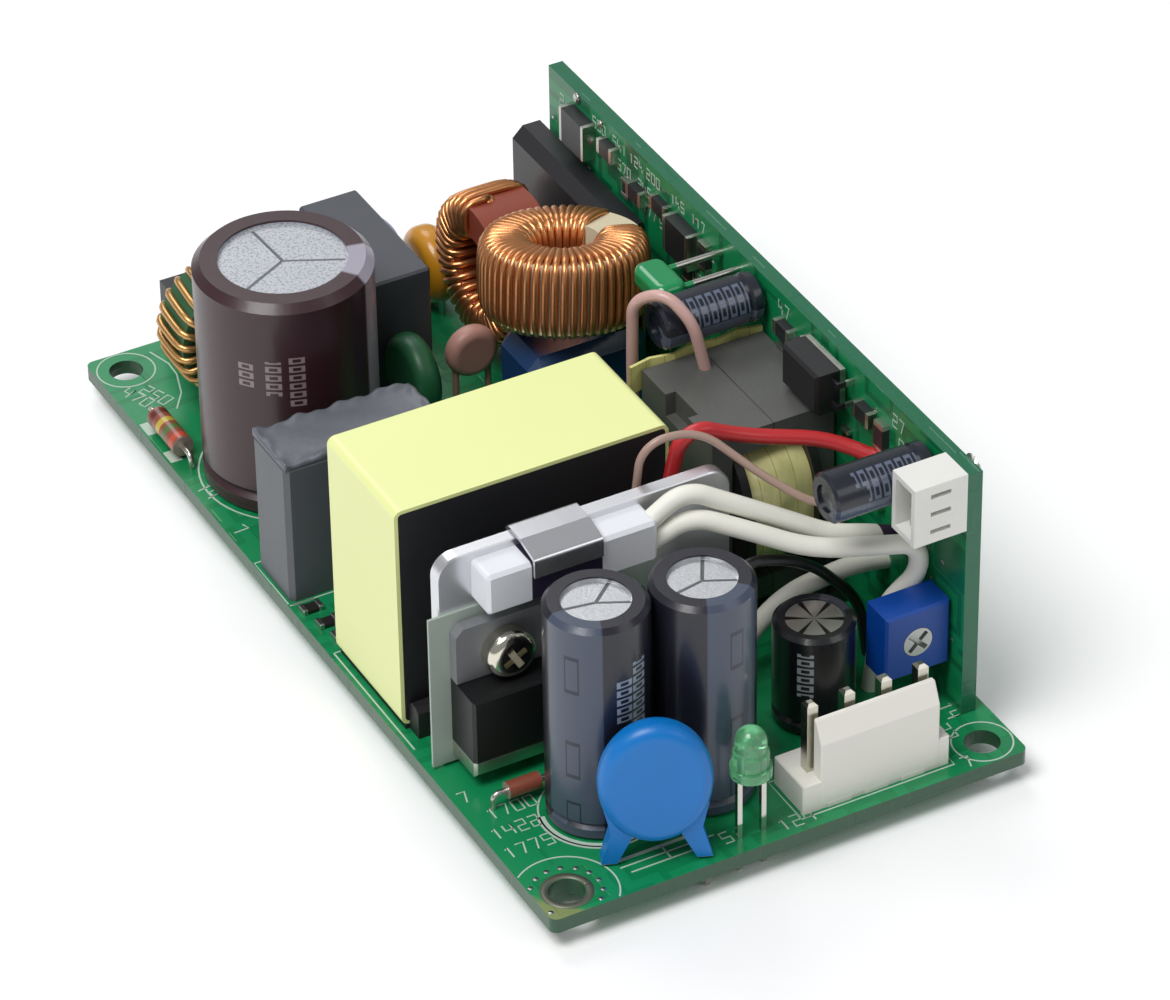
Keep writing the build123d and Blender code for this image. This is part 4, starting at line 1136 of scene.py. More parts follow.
@dataclass
class RingWinding:
    """One winding of round wire on a ring core, as a continuous coil with its two leads.

    Attributes:
        name: Name of the piece.
        centre: Middle of the ring.
        axis: Direction of the ring's axis.
        zero: Direction from which the angles are counted.
        outer: Outside radius over the wire.
        bore: Inside radius within the wire.
        height: Height over the wire.
        starts: Angle where each coil begins.
        turns: Turns in each coil.
        cover: Angle that each coil covers.
        feet: Board place of each lead end.
        node: CAD node that the coil stands for.
        finish: Finish of the wire.
        wire: Wire diameter.
        power: Power of the superellipse that a turn follows.
        nest: How far every second turn stands off the core in the bore.
        turn_points: Points in a turn.
        lead_points: Points along a lead.
        sides: Points round the wire.
    """

    name: str
    centre: tuple[float, float, float]
    axis: tuple[float, float, float]
    zero: tuple[float, float, float]
    outer: float
    bore: float
    height: float
    starts: tuple[float, ...]
    turns: int
    cover: float
    feet: tuple[tuple[float, float], ...]
    node: str
    finish: Finish = COPPER
    wire: float = 0.78
    power: float = 4.2
    nest: float = 0.62
    turn_points: int = 28
    lead_points: int = 14
    sides: int = 8

    def section(self, lift: np.ndarray) -> tuple[np.ndarray, np.ndarray]:
        """Give the wire's loop round the core as radius and height.

        The loop is a superellipse, |r|^p + |h|^p = 1, stretched to the core, so that it is a
        rectangle with rounded corners. On the side of the bore a lifted turn lies further in,
        by the cube of how far the point is on that side.

        Args:
            lift: 0 or 1 for each turn, 1 where it lies on its neighbours in the bore.

        Returns:
            Radius with one row a turn, and height with one row for all.
        """
        phase = np.linspace(0, 2 * math.pi, self.turn_points, endpoint=False)[None]
        c, s = np.cos(phase), np.sin(phase)
        half_r = (self.outer - self.bore - self.wire) / 2
        half_h = (self.height - self.wire) / 2
        reach = (np.abs(c) ** self.power + np.abs(s) ** self.power) ** (-1 / self.power)
        inward = self.nest * lift[:, None] * np.clip(-c * reach, 0, 1) ** 3
        radius = (self.outer + self.bore) / 2 + half_r * c * reach + inward
        return radius, half_h * s * reach

    def coil(self, start: float) -> tuple[np.ndarray, np.ndarray]:
        """Carry the loop round the ring, one turn after another.

        The angle round the ring rises evenly with the way along the wire. A point is the
        centre, plus the radius in the direction of that angle, plus the height on the axis.

        Args:
            start: Angle where the coil begins in degrees.

        Returns:
            The path, and the direction along the ring at each of its points.
        """
        turn = np.arange(self.turns)
        radius, level = self.section((turn % 2).astype(float))
        within = np.arange(self.turn_points)[None] / self.turn_points
        share = (turn[:, None] + within) / self.turns
        angle = np.radians(start + self.cover * share)
        axis, zero = np.array(self.axis), np.array(self.zero)
        axis = axis / np.linalg.norm(axis)
        zero = zero - axis * (zero @ axis)
        zero = zero / np.linalg.norm(zero)
        side = np.cross(axis, zero)
        out = np.cos(angle)[..., None] * zero + np.sin(angle)[..., None] * side
        along = -np.sin(angle)[..., None] * zero + np.cos(angle)[..., None] * side
        path = np.array(self.centre) + radius[..., None] * out + level[..., None] * axis
        return path.reshape(-1, 3), along.reshape(-1, 3)

    def build(self) -> None:
        """Write the coils and their leads as one piece.

        A lead is a quadratic curve from the board, past a knee halfway up, to the coil's end.
        """
        surface = Surface()
        ends = []
        for start in self.starts:
            path, along = self.coil(start)
            surface.add(*tube(path, self.wire / 2, self.sides, along))
            ends += [path[0], path[-1]]
        for foot in self.feet:
            end = min(ends, key=lambda p: math.hypot(p[0] - foot[0], p[1] - foot[1]))
            low = np.array([foot[0], foot[1], BOARD_TOP])
            knee = np.array([foot[0], foot[1], (BOARD_TOP + end[2]) / 2])
            share = np.linspace(0, 1, self.lead_points)[:, None]
            lead = (1 - share) ** 2 * low + 2 * share * (1 - share) * knee + share**2 * end
            surface.add(*tube(lead, self.wire / 2, self.sides, np.array([0.3, 1.0, 0.2])))
        surface.build(self.name, self.finish, "copper", replaces=[self.node])


@dataclass
class TapedCoil:
    """The transformer's winding under yellow tape, bulging between the flanges.

    Attributes:
        swell: How far the ends draw in against the middle.
        crease: Depth of the creases.
        bulge: How far the coil stands out of the core's open sides.
        spread: How far the tape laps over the flanges at each end.
        power: Power of the superellipse that the section follows.
        rings: Rings along the coil.
        sides: Points in a ring.
    """

    swell: float = 0.35
    crease: float = 0.12
    bulge: float = 1.7
    spread: float = 0.5
    power: float = 3.2
    rings: int = 61
    sides: int = 160

    def build(self) -> None:
        """Write the taped coil.

        The section is a superellipse, |y|^p + |z|^p = r^p, stretched along y by the bulge, so
        that the coil fills the window of the core and its flanges. The radius falls with the
        fourth power of the distance from the middle, and three slow waves along and around it
        add soft creases.
        """
        low, high = corner_box("transformer_winding")
        middle, half = (low + high) / 2, (high - low) / 2
        half[0] += self.spread
        x = np.linspace(-1, 1, self.rings)[:, None]
        turn = np.linspace(0, 2 * math.pi, self.sides, endpoint=False)[None]
        wave = (
            np.sin(3 * turn + 5 * x)
            + 0.6 * np.sin(8 * turn - 9 * x + 1.0)
            + 0.4 * np.sin(13 * turn + 4 * x + 2.0)
        )
        radius = half[2] - self.crease - self.swell * x**4 + self.crease * wave / 2
        c, s = np.abs(np.cos(turn)) ** self.power, np.abs(np.sin(turn)) ** self.power
        radius = radius * (c + s) ** (-1 / self.power)
        points = np.stack(
            [
                middle[0] + half[0] * x + 0 * turn,
                middle[1] + (radius + self.bulge) * np.cos(turn),
                middle[2] + radius * np.sin(turn),
            ],
            -1,
        )
        surface = Surface()
        surface.add(points.reshape(-1, 3), grid_faces(self.rings, self.sides, False))
        # Thin glossy film over round wire: pale, with soft folds darkened by painted shade and a
        # line at each lap
        tape = Wrapped("wound_polyester_tape", "#f3edb0", roughness=0.2, coat=0.5, depth=0.12)
        surface.build("taped_coil", tape, "winding_tape", replaces=["transformer_winding"])


@dataclass
class Potting:
    """Resin skin with a wavy rim on top of the grey film capacitor.

    Attributes:
        rim: Width of the rim.
        drop: How far the skin reaches down into the case.
        rise: How far the skin stands over the case in its middle.
        rows: Points along the case.
        columns: Points across it.
    """

    rim: float = 0.7
    drop: float = 0.35
    rise: float = 0.05
    rows: int = 34
    columns: int = 60

    def faces(self) -> list[list[int]]:
        """Number the faces of a sheet, its copy below it and the wall between them.

        Returns:
            Faces as vertex numbers, the upper sheet's points first.
        """
        rows, columns = self.rows, self.columns
        count = rows * columns
        i, j = np.meshgrid(np.arange(rows - 1), np.arange(columns - 1), indexing="ij")
        a = (i * columns + j).ravel()
        upper = np.stack([a, a + 1, a + columns + 1, a + columns], -1)
        border = [
            np.arange(columns),
            np.arange(1, rows) * columns + columns - 1,
            count - columns + np.arange(columns - 2, -1, -1),
            np.arange(rows - 2, 0, -1) * columns,
        ]
        ring = np.concatenate(border)
        after = np.roll(ring, -1)
        wall = np.stack([ring, ring + count, after + count, after], -1)
        return np.concatenate([upper, upper[:, ::-1] + count, wall]).tolist()

    def build(self) -> None:
        """Write the skin.

        Its height is the case's top, plus a bank that falls from the border as e to the power
        of minus the squared distance in rims, with two slow waves on it, plus a faint swell.
        """
        low, high = corner_box("film_capacitor")
        gap = self.rise
        across = np.linspace(low[0] + gap, high[0] - gap, self.columns)
        along = np.linspace(low[1] + gap, high[1] - gap, self.rows)
        x, y = np.meshgrid(across, along)
        sides = [x - x.min(), x.max() - x, y - y.min(), y.max() - y]
        bank = np.exp(-((np.minimum.reduce(sides) / self.rim) ** 2))
        wave = 0.18 * np.sin(1.3 * x + 0.8 * y) + 0.12 * np.sin(2.9 * x - 2.1 * y + 1.0)
        swell = 0.05 * np.sin(0.9 * x) * np.cos(1.1 * y)
        top = high[2] + self.rise + bank * (0.2 + wave) + swell
        upper = np.stack([x, y, top], -1).reshape(-1, 3)
        lower = np.stack([x, y, np.full_like(x, high[2] - self.drop)], -1).reshape(-1, 3)
        surface = Surface()
        surface.add(np.concatenate([upper, lower]), self.faces())
        # Resin that crept up the case and set: dull grey with small lumps
        skin = Finish("poured_grey_resin", "#64686f", roughness=0.42, grain=0.9, depth=0.05)
        surface.build("film_capacitor_resin", skin, "grey_box")


# Corners of each plain digit in a cell 0.55 wide and 1 high
STROKES = {
    "0": line((0, 0), (0.55, 0), (0.55, 1), (0, 1), (0, 0.02)),
    "1": line((0.1, 0.8), (0.3, 1), (0.3, 0)),
    "2": line((0, 1), (0.55, 1), (0.55, 0.5), (0, 0.5), (0, 0), (0.55, 0)),
    "4": line((0, 1), (0, 0.45), (0.55, 0.45), (0.5, 1), (0.5, 0)),
    "5": line((0.55, 1), (0, 1), (0, 0.5), (0.55, 0.5), (0.55, 0), (0, 0)),
    "7": line((0, 1), (0.55, 1), (0.25, 0)),
}


@dataclass
class BoardDetails:
    """Print, pads, small chips and vias on the two boards.

    Attributes:
        hole_x: Half the hole spacing across the board.
        hole_y: Half the hole spacing along the board.
        ink_width: Width of a printed line.
        digit_pitch: Pitch of the digits, as a share of their height.
        pad_radius: Radius of the pad under a solder joint.
    """

    hole_x: float = 22.225
    hole_y: float = 47.625
    ink_width: float = 0.16
    digit_pitch: float = 0.85
    pad_radius: float = 1.35

    def digits(
        self,
        surface: Surface,
        side: Side,
        at: tuple[float, float],
        heading: float,
        number: str,
        size: float,
    ) -> None:
        """Print a plain number in straight strokes.

        Args:
            surface: Where the strokes go.
            side: The board face.
            at: Flat place of the number's start.
            heading: Direction of the number in degrees.
            number: Its digits.
            size: Height of a digit.
        """
        c, s = math.cos(math.radians(heading)), math.sin(math.radians(heading))
        mirror = -1 if side in (Side.INNER, Side.MAIN_BOTTOM) else 1
        for k, digit in enumerate(number):
            shape = (STROKES[digit] + np.array([k * self.digit_pitch, 0])) * size
            rise = mirror * shape[:, 1]
            flat = np.stack([c * shape[:, 0] - s * rise, s * shape[:, 0] + c * rise], -1)
            surface.add(*strip(side, flat + np.array(at), self.ink_width))

    def outline(self, surface: Surface, node: str, margin: float) -> None:
        """Print a rectangle round the foot of a part on the main board.

        Args:
            surface: Where the print goes.
            node: CAD node of the part.
            margin: How far the rectangle stands off the part.
        """
        low, high = corner_box(node)
        x0, y0, x1, y1 = low[0] - margin, low[1] - margin, high[0] + margin, high[1] + margin
        box = line((x0, y0), (x1, y0), (x1, y1), (x0, y1), (x0, y0 + 0.3))
        surface.add(*strip(Side.MAIN_TOP, box, self.ink_width))

    def build_print(self) -> None:
        """Print rings round the holes, outlines round parts and plain numbers."""
        surface = Surface()
        self.print_rings(surface)
        self.print_lines(surface)
        self.print_numbers(surface)
        surface.build("board_print", INK, "board", smooth=False)

    def print_rings(self, surface: Surface) -> None:
        """Print rings round the holes and arcs round the tall capacitors.

        Args:
            surface: Where the print goes.
        """
        # Side of the hole across and along, radius, first and last angle
        for x, y, radius, start, end in (
            (-1, -1, 4.9, -38, 128),
            (-1, 1, 3.0, 0, 359),
            (1, -1, 2.95, 0, 359),
            (1, 1, 3.0, 0, 359),
        ):
            ring = arc(x * self.hole_x, y * self.hole_y, radius, start, end)
            surface.add(*strip(Side.MAIN_TOP, ring, self.ink_width))
            ring = arc(x * self.hole_x, y * self.hole_y, 3.0)
            surface.add(*strip(Side.MAIN_BOTTOM, ring, self.ink_width))
        for node, gap in (("bulk_capacitor_sleeve", 0.5), ("output_capacitor_sleeve_1", 0.7)):
            low, high = corner_box(node)
            x, y = (low[:2] + high[:2]) / 2
            radius = (high[0] - low[0]) / 2 + gap
            surface.add(*strip(Side.MAIN_TOP, arc(x, y, radius, 120, 330), 0.18))
        low, high = corner_box("output_capacitor_sleeve_1")
        x, y = (low[:2] + high[:2]) / 2
        surface.add(*strip(Side.MAIN_TOP, arc(x, y, 5.6, 165, 285), 0.8))

    def print_lines(self, surface: Surface) -> None:
        """Print part outlines, bars and rules.

        Args:
            surface: Where the print goes.
        """
        bend = np.array([(-18.7, 49.4), (-17.9, 46.6), (-18.0, 44.4), (-19.0, 41.2), (-20.6, 38.9)])
        surface.add(*strip(Side.MAIN_TOP, bend, self.ink_width))
        for node in ("x_capacitor", "output_header", "film_capacitor"):
            self.outline(surface, node, 0.35)
        # X, first and last Y, width
        for x, y0, y1, width in (
            (-24.5, 36.0, 38.2, 1.3),
            (-24.5, 30.6, 32.6, 1.3),
            (-12.6, -46.4, -46.0, 8.0),
        ):
            surface.add(*strip(Side.MAIN_TOP, line((x, y0), (x, y1)), width))
        # First X and Y, last X and Y
        for x0, y0, x1, y1 in (
            (-16.4, -47.2, -6.6, -47.2),
            (-15.8, -48.2, -8.0, -48.2),
            (-11.6, -48.2, -11.6, -46.2),
            (-24.9, -22.4, -24.9, -5.4),
            (-24.9, -5.4, -24.0, -5.4),
            (-25.0, 3.4, -22.6, 3.4),
        ):
            surface.add(*strip(Side.MAIN_TOP, line((x0, y0), (x1, y1)), self.ink_width))

    def print_numbers(self, surface: Surface) -> None:
        """Print plain numbers beside the parts on both boards.

        Args:
            surface: Where the print goes.
        """
        # X, Y, heading in degrees, digits
        for x, y, heading, number in (
            (-23.4, -35.2, 0, "1700"),
            (-24.4, -38.0, 0, "1422"),
            (-24.6, -41.0, 0, "1775"),
            (-24.6, -31.8, 0, "7"),
            (-24.6, 44.0, -68, "470"),
            (-22.8, 43.4, -68, "250"),
            (-24.9, 17.2, -70, "7"),
            (-24.9, 25.4, -80, "14"),
            (-6.2, -48.9, 0, "5"),
            (-0.6, -49.9, 0, "124"),
            (19.2, -43.6, -90, "22"),
            (21.2, -41.0, -90, "14"),
            (19.0, -50.3, 0, "7"),
        ):
            self.digits(surface, Side.MAIN_TOP, (x, y), heading, number, 1.55)
        rng = np.random.default_rng(5)
        # Height, first and last Y of each row of numbers beside the chips
        for level, first, last in (
            (26.0, 29.0, 6.0),
            (23.8, 23.8, 4.0),
            (21.7, 18.6, 8.0),
            (19.5, 13.4, 2.0),
        ):
            y = first
            while y > last:
                number = "".join(rng.choice(list("012457"), 3))
                self.digits(surface, Side.INNER, (y, level), 180, number, 1.15)
                y -= 3.4 + 1.6 * rng.random()
        # Y, height, digits
        for y, level, number in (
            (-8.4, 25.6, "47"),
            (-11.0, 23.4, "102"),
            (-29.8, 25.4, "27"),
            (-31.0, 23.2, "05"),
            (-33.0, 20.4, "41"),
            (36.0, 24.6, "2"),
        ):
            self.digits(surface, Side.INNER, (y, level), 180, number, 1.4)

    def joint_places(self) -> list[np.ndarray]:
        """Find the middle of each solder joint from the CAD mesh.

        Returns:
            Points on the main board's underside or the side board's outer face.
        """
        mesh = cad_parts["solder_joints"].data
        points = np.zeros(len(mesh.vertices) * 3, np.float32)
        mesh.vertices.foreach_get("co", points)
        points = points.reshape(-1, 3) / MM
        middles: list[np.ndarray] = []
        for axis, level in ((2, BOARD_BOTTOM), (0, SIDE_FACE + SIDE_THICKNESS)):
            flat = points[np.abs(points[:, axis] - level) < 0.02]
            while len(flat):
                near = np.linalg.norm(flat - flat[0], axis=1) < 2.0
                middles.append((flat[near].max(0) + flat[near].min(0)) / 2)
                flat = flat[~near]
        return middles

    def build_pads(self) -> None:
        """Lay tinned pads under the joints, rings at the holes and stitched vias."""
        surface = Surface()
        for place in self.joint_places():
            side, at = Side.OUTER, (place[1], place[2] - BOARD_TOP)
            if abs(place[2] - BOARD_BOTTOM) < 0.02:
                side, at = Side.MAIN_BOTTOM, (place[0], place[1])
            surface.add(*disc(side, *at, self.pad_radius, 0.04))
        dull = Surface()
        for x in (-1, 1):
            for y in (-1, 1):
                ring = arc(x * self.hole_x, y * self.hole_y, 2.4)
                dull.add(*strip(Side.MAIN_BOTTOM, ring, 1.2))
        dull.add(*strip(Side.MAIN_TOP, arc(-self.hole_x, -self.hole_y, 2.15), 0.75))
        dull.build("worn_hole_rings", WORN_PAD, "solder")
        for heading in range(0, 360, 24):
            c, s = math.cos(math.radians(heading)), math.sin(math.radians(heading))
            x, y = 3.35 * c - self.hole_x, 3.35 * s - self.hole_y
            if x > -25.0 and y > -50.4:
                surface.add(*disc(Side.MAIN_TOP, x, y, 0.28, 0.03))
        # Y, height and radius of the test pads
        for y, level, size in (
            (32.3, 27.4, 0.7),
            (27.3, 27.1, 0.5),
            (27.6, 23.8, 0.6),
            (21.8, 23.2, 0.9),
            (12.3, 21.2, 0.8),
            (9.0, 19.0, 0.5),
            (-0.9, 13.2, 0.6),
        ):
            surface.add(*disc(Side.INNER, y, level, size, 0.25))
        for y, z in np.random.default_rng(7).uniform((-42, 3), (38, 27), (46, 2)):
            surface.add(*disc(Side.INNER, y, z, 0.26, 0.03))
        for x, y in np.random.default_rng(9).uniform((-24, -46), (20, 48), (60, 2)):
            surface.add(*disc(Side.MAIN_BOTTOM, x, y, 0.24, 0.03))
        surface.build("plated_pads", TIN, "solder")

    def build_chips(self) -> None:
        """Place small chip parts with tinned ends on both boards."""
        bodies, ends = Surface(), Surface()
        rng = np.random.default_rng(11)
        row = [(37.0 - 3.1 * k, 14.0 + 9.5 * rng.random()) for k in range(22)]
        block = [(-8.0 + 3.4 * k, -4.0 + 2.2 * (k % 3)) for k in range(9)]
        places = [(Side.INNER, at, k % 2) for k, at in enumerate(row)]
        places += [(Side.MAIN_TOP, at, 0) for at in ((-23.7, 1.9), (-23.3, -0.9), (-22.9, -3.4))]
        places += [(Side.MAIN_BOTTOM, (-4.0, 8.0), 0)]
        places += [(Side.MAIN_BOTTOM, at, k % 2) for k, at in enumerate(block)]
        for side, at, turned in places:
            size = (1.25, 2.0, 0.55) if turned else (2.0, 1.25, 0.55)
            shift = np.array((0, 0.85) if turned else (0.85, 0))
            bodies.add(*chip(side, at, size))
            for way in (-1, 1):
                cap = (1.35, 0.5, 0.62) if turned else (0.5, 1.35, 0.62)
                ends.add(*chip(side, tuple(np.array(at) + way * shift), cap))
        # Glass over a ceramic chip: near black, with a faint gloss
        dark = Finish("thick_film_chip", "#23211f", roughness=0.4, grain=0.2)
        bodies.build("chip_bodies", dark, "chip_black", smooth=False)
        ends.build("chip_ends", TIN, "solder", smooth=False)

    def build(self) -> None:
        """Write everything on the boards."""
        self.build_print()
        self.build_pads()
        self.build_chips()


def extrusion(profile: np.ndarray, stations: tuple[float, float], bevel: float) -> Shell:
    """Run a convex Y-Z profile along X with both ends bevelled.

    Each end ring is the profile drawn towards its middle by the bevel.

    Args:
        profile: Y and Z of each corner.
        stations: The two X ends.
        bevel: Size of the bevel.

    Returns:
        Points and faces.
    """
    middle = (profile.max(0) + profile.min(0)) / 2
    half = (profile.max(0) - profile.min(0)) / 2
    small = middle + (profile - middle) * (1 - bevel / half)
    x0, x1 = stations
    rings = [(x0, small), (x0 + bevel, profile), (x1 - bevel, profile), (x1, small)]
    points = [np.concatenate([np.full((len(flat), 1), x), flat], 1) for x, flat in rings]
    return np.concatenate(points), grid_faces(4, len(profile), False)


@dataclass
class HeatsinkPlate:
    """Rolled aluminium plate with rounded top corners.

    Attributes:
        right: Where the plate ends towards the side board.
        corner: Radius of the top corners.
        bevel: Deburred edge.
    """

    right: float = 7.3
    corner: float = 2.2
    bevel: float = 0.12

    def build(self) -> None:
        """Write the plate: a rounded outline in X and Z that runs along Y."""
        low, high = corner_box("heatsink")
        r = self.corner
        left_arc = arc(low[0] + r, high[2] - r, r, 180, 90)
        right_arc = arc(self.right - r, high[2] - r, r, 90, 0)
        left_foot, right_foot = [(low[0], low[2])], [(self.right, low[2])]
        outline = np.concatenate([left_foot, left_arc, right_arc, right_foot])
        points, faces = extrusion(outline, (low[1], high[1]), self.bevel)
        surface = Surface()
        surface.add(points[:, [1, 0, 2]], faces)
        surface.build("heatsink_plate", PLATE, "sheet_aluminium", False, ["heatsink"])


@dataclass
class FrictionHeader:
    """White output header: a base with a locking wall that is shorter than the base.

    Attributes:
        wall_left: How far the wall starts in from the base's left end.
        wall_right: How far it ends in from the right end.
        wall_depth: Thickness of the wall.
        base_height: Height of the base.
        lean: Size of the slope at the wall's top.
        bevel: Bevel of the moulded edges.
        ways: Number of pins.
        rib: Depth, height and half length of the ribs at the base's foot.
    """

    wall_left: float = 1.9
    wall_right: float = 1.15
    wall_depth: float = 1.5
    base_height: float = 3.3
    lean: float = 1.1
    bevel: float = 0.12
    ways: int = 4
    rib: tuple[float, float, float] = (0.6, 0.5, 1.3)

    def build(self) -> None:
        """Write the base, its ribs and the wall."""
        low, high = corner_box("output_header")
        b, front, back, foot, crest = self.bevel, low[1], high[1], low[2], high[2]
        top, lip = foot + self.base_height, front + 0.05
        surface = Surface()
        base = [(lip, foot), (back, foot), (back, top - b), (back - b, top), (lip + b, top)]
        base += [(lip, top - b)]
        surface.add(*extrusion(np.array(base), (low[0], high[0]), b))
        slope, inner = front + self.lean, front + self.wall_depth
        wall = [(front, foot + 0.4), (front, crest - 2 * self.lean), (slope, crest - b)]
        wall += [(slope + b, crest), (inner, crest), (inner, foot + 0.4)]
        span = (low[0] + self.wall_left, high[0] - self.wall_right)
        surface.add(*extrusion(np.array(wall), span, b))
        pitch = (high[0] - low[0]) / self.ways
        depth, height, half = self.rib
        near, far = front - 0.02, front + depth
        rib = [(near, foot), (far, foot), (far, foot + height), (near, foot + height)]
        for k in range(1, self.ways):
            x = low[0] + k * pitch
            surface.add(*extrusion(np.array(rib), (x - half, x + half), 0.04))
        # Moulded nylon: warm white, smooth and only slightly glossy
        nylon = Finish("moulded_white_nylon", "#e9e6dd", roughness=0.4, grain=0.5, shading=0.06)
        surface.build("output_header_moulding", nylon, "white_plastic", False, ["output_header"])


@dataclass
class LampInside:
    """Lead frame inside the green lamp: two posts with cups.

    Attributes:
        post: Radius of a post.
        cup: Radius of the cup at a post's end.
        spread: Half the distance between the posts.
        depth: How far under the lamp's top the posts start.
        sides: Points round a post.
    """

    post: float = 0.28
    cup: float = 0.62
    spread: float = 0.7
    depth: float = 5.0
    sides: int = 16

    def build(self) -> None:
        """Write the posts: a profile of radius and height turned round each post's axis."""
        low, high = corner_box("status_led")
        x, y, _ = (low + high) / 2
        surface = Surface()
        for way, top in ((-1, 2.6), (1, 3.1)):
            profile = [(self.post, 0), (self.post, top - 0.6), (self.cup, top - 0.3)]
            profile += [(self.cup - 0.07, top), (0.2, top - 0.2)]
            start = np.array([x + way * self.spread, y, high[2] - self.depth])
            up = np.array([0, 0, 1.0])
            surface.add(*lathe(np.array(profile), start, up, self.sides))
        surface.build("lamp_lead_frame", TIN, "solder")


class Dressing:
    """Gives every CAD node its finish."""

    def __init__(self) -> None:
        """Work out the finishes whose marks follow the place of a part."""
        self.finishes: dict[str, Finish] = {}
        self.boards()
        self.capacitors()
        self.wound_parts()
        self.power_stage()
        self.small_parts()
        self.cords()

    def middle(self, node: str) -> np.ndarray:
        """Give the middle of a node's box."""
        low, high = corner_box(node)
        return (low + high) / 2

    def boards(self) -> None:
        """Choose the finishes of the boards and joints."""
        # Green lacquer over copper and glass cloth: glossy, paler over the copper
        self.finishes["main_board"] = Laminate(
            "green_solder_mask_main",
            "#087a48",
            roughness=0.34,
            coat=0.2,
            depth=0.03,
            worn=(-25.4, -50.8),
        )
        # The same lacquer, painted a darker green for the shade on the upright board, whose sawn
        # edge looks green too
        self.finishes["daughter_board"] = Laminate(
            "green_solder_mask_side_painted_shade",
            "#064f38",
            roughness=0.36,
            coat=0.2,
            depth=0.03,
            normal_axis=X,
            edge="#075a3b",
        )
        self.finishes["solder_joints"] = TIN

    def capacitors(self) -> None:
        """Choose the finishes of cans, sleeves, boxes and dipped discs."""
        x, y, _ = self.middle("bulk_capacitor_sleeve")
        # Shrunk film, nearly black in its brown, with a soft long highlight
        self.finishes["bulk_capacitor_sleeve"] = Sleeve(
            "maroon_shrunk_sleeve",
            "#371d23",
            roughness=0.34,
            coat=0.2,
            centre=(x, y),
            heading=-33.0,
            half_width=20.0,
            stripe="#9a95a3",
            ink="#8b7a7c",
            lines=((-124.0, 20.4, 4.0), (-109.0, 20.0, 6.0), (-142.0, 20.6, 3.0)),
        )
        # Pressed can top seen as coarse bright grit with three scored lines
        self.finishes["bulk_capacitor_can"] = CanTop(
            "gritty_aluminium_can_top",
            "#c2c5ca",
            roughness=0.5,
            metallic=0.4,
            centre=(x, y),
            scores=(-27.0, 93.0, 208.0),
            length=6.3,
            grit=0.6,
            depth=0.1,
        )
        for number, heading in ((1, -146.0), (2, -80.0)):
            x, y, _ = self.middle(f"output_capacitor_sleeve_{number}")
            # Shrunk film: near black with a grey stripe and a soft long highlight
            self.finishes[f"output_capacitor_sleeve_{number}"] = Sleeve(
                f"navy_shrunk_sleeve_{number}",
                "#1b1b26",
                roughness=0.3,
                coat=0.2,
                centre=(x, y),
                heading=heading,
                half_width=34.0,
                stripe="#414a5c",
                ink="#8a93a6",
                marks=((22.6, 4.2), (12.8, 4.2), (6.4, 3.0)),
                lines=((heading + 58, 19.6, 5.0), (heading + 78, 19.0, 9.0)),
            )
            # Drawn metal: bright and finely speckled, with three scored lines
            self.finishes[f"output_capacitor_can_{number}"] = CanTop(
                f"drawn_aluminium_can_top_{number}",
                "#cfd1d4",
                roughness=0.36,
                metallic=0.8,
                centre=(x, y),
                scores=(-27.0, 20.0 + 20 * number, 150.0 + 20 * number),
                length=3.4,
                grit=0.15,
                depth=0.08,
            )
        x, y, _ = self.middle("small_output_capacitor")
        # Shrunk film that ends at the rim, inside which the pressed metal shows
        self.finishes["small_output_capacitor"] = Sleeve(
            "black_shrunk_sleeve",
            "#15161b",
            roughness=0.28,
            coat=0.35,
            centre=(x, y),
            heading=20.0,
            half_width=30.0,
            stripe="#33353d",
            ink="#a7abb2",
            lines=((-132.0, 11.0, 5.0),),
            top=(2.75, 14.0),
        )
        for number in (1, 2):
            _, y, z = self.middle(f"side_capacitor_{number}")
            # The same film on the lying cans, a little bluer
            self.finishes[f"side_capacitor_{number}"] = Sleeve(
                f"navy_lying_sleeve_{number}",
                "#1b202b",
                roughness=0.28,
                coat=0.35,
                across=(Y, Z),
                centre=(y, z),
                heading=205.0,
                half_width=24.0,
                stripe="#4c5466",
                ink="#5d6678",
                lines=((122.0, 17.0, 7.0), (160.0, 17.5, 6.0)),
            )
        foot = BOARD_TOP + 2.4
        # Moulded cases: even and dull, with hardly any texture
        self.finishes["film_capacitor"] = Finish("moulded_grey_case", "#585c61", roughness=0.45)
        self.finishes["x_capacitor"] = Finish("moulded_charcoal_case", "#484b52", roughness=0.4)
        # A smoother moulding, dark blue with a slight gloss
        self.finishes["blue_film_capacitor"] = Finish(
            "moulded_blue_case", "#1a3c66", roughness=0.3, coat=0.3
        )
        # Parts dipped in epoxy: rounded gloss, and tinned leads below the dip
        self.finishes["yellow_varistor"] = Finish(
            "dipped_amber_epoxy", "#c88a1c", roughness=0.3, coat=0.3, leads=(Z, foot, -1)
        )
        self.finishes["blue_varistor"] = Finish(
            "dipped_blue_epoxy", "#1253b0", roughness=0.3, coat=0.3, leads=(Z, foot, -1)
        )
        # Silicone and phenolic dips are duller than epoxy
        self.finishes["green_thermistor"] = Finish(
            "dipped_green_silicone", "#1f5a38", roughness=0.42, leads=(Z, foot, -1)
        )
        self.finishes["pink_disc_capacitor"] = Finish(
            "dipped_pale_epoxy", "#b8897c", roughness=0.45, leads=(Z, foot, -1)
        )
        # A thick clear dip: wet looking green
        self.finishes["green_film_capacitor"] = Finish(
            "dipped_green_epoxy", "#0e8a4e", roughness=0.2, coat=0.6, leads=(X, 17.4, 1)
        )
        # Pigmented epoxy powder: strong even blue with a broad highlight
        self.finishes["y_capacitor"] = Finish(
            "dipped_bright_blue_epoxy", "#0074c4", roughness=0.36, leads=(Z, BOARD_TOP + 0.3, -1)
        )

    def wound_parts(self) -> None:
        """Choose the finishes of cores, tapes and the sealed choke."""
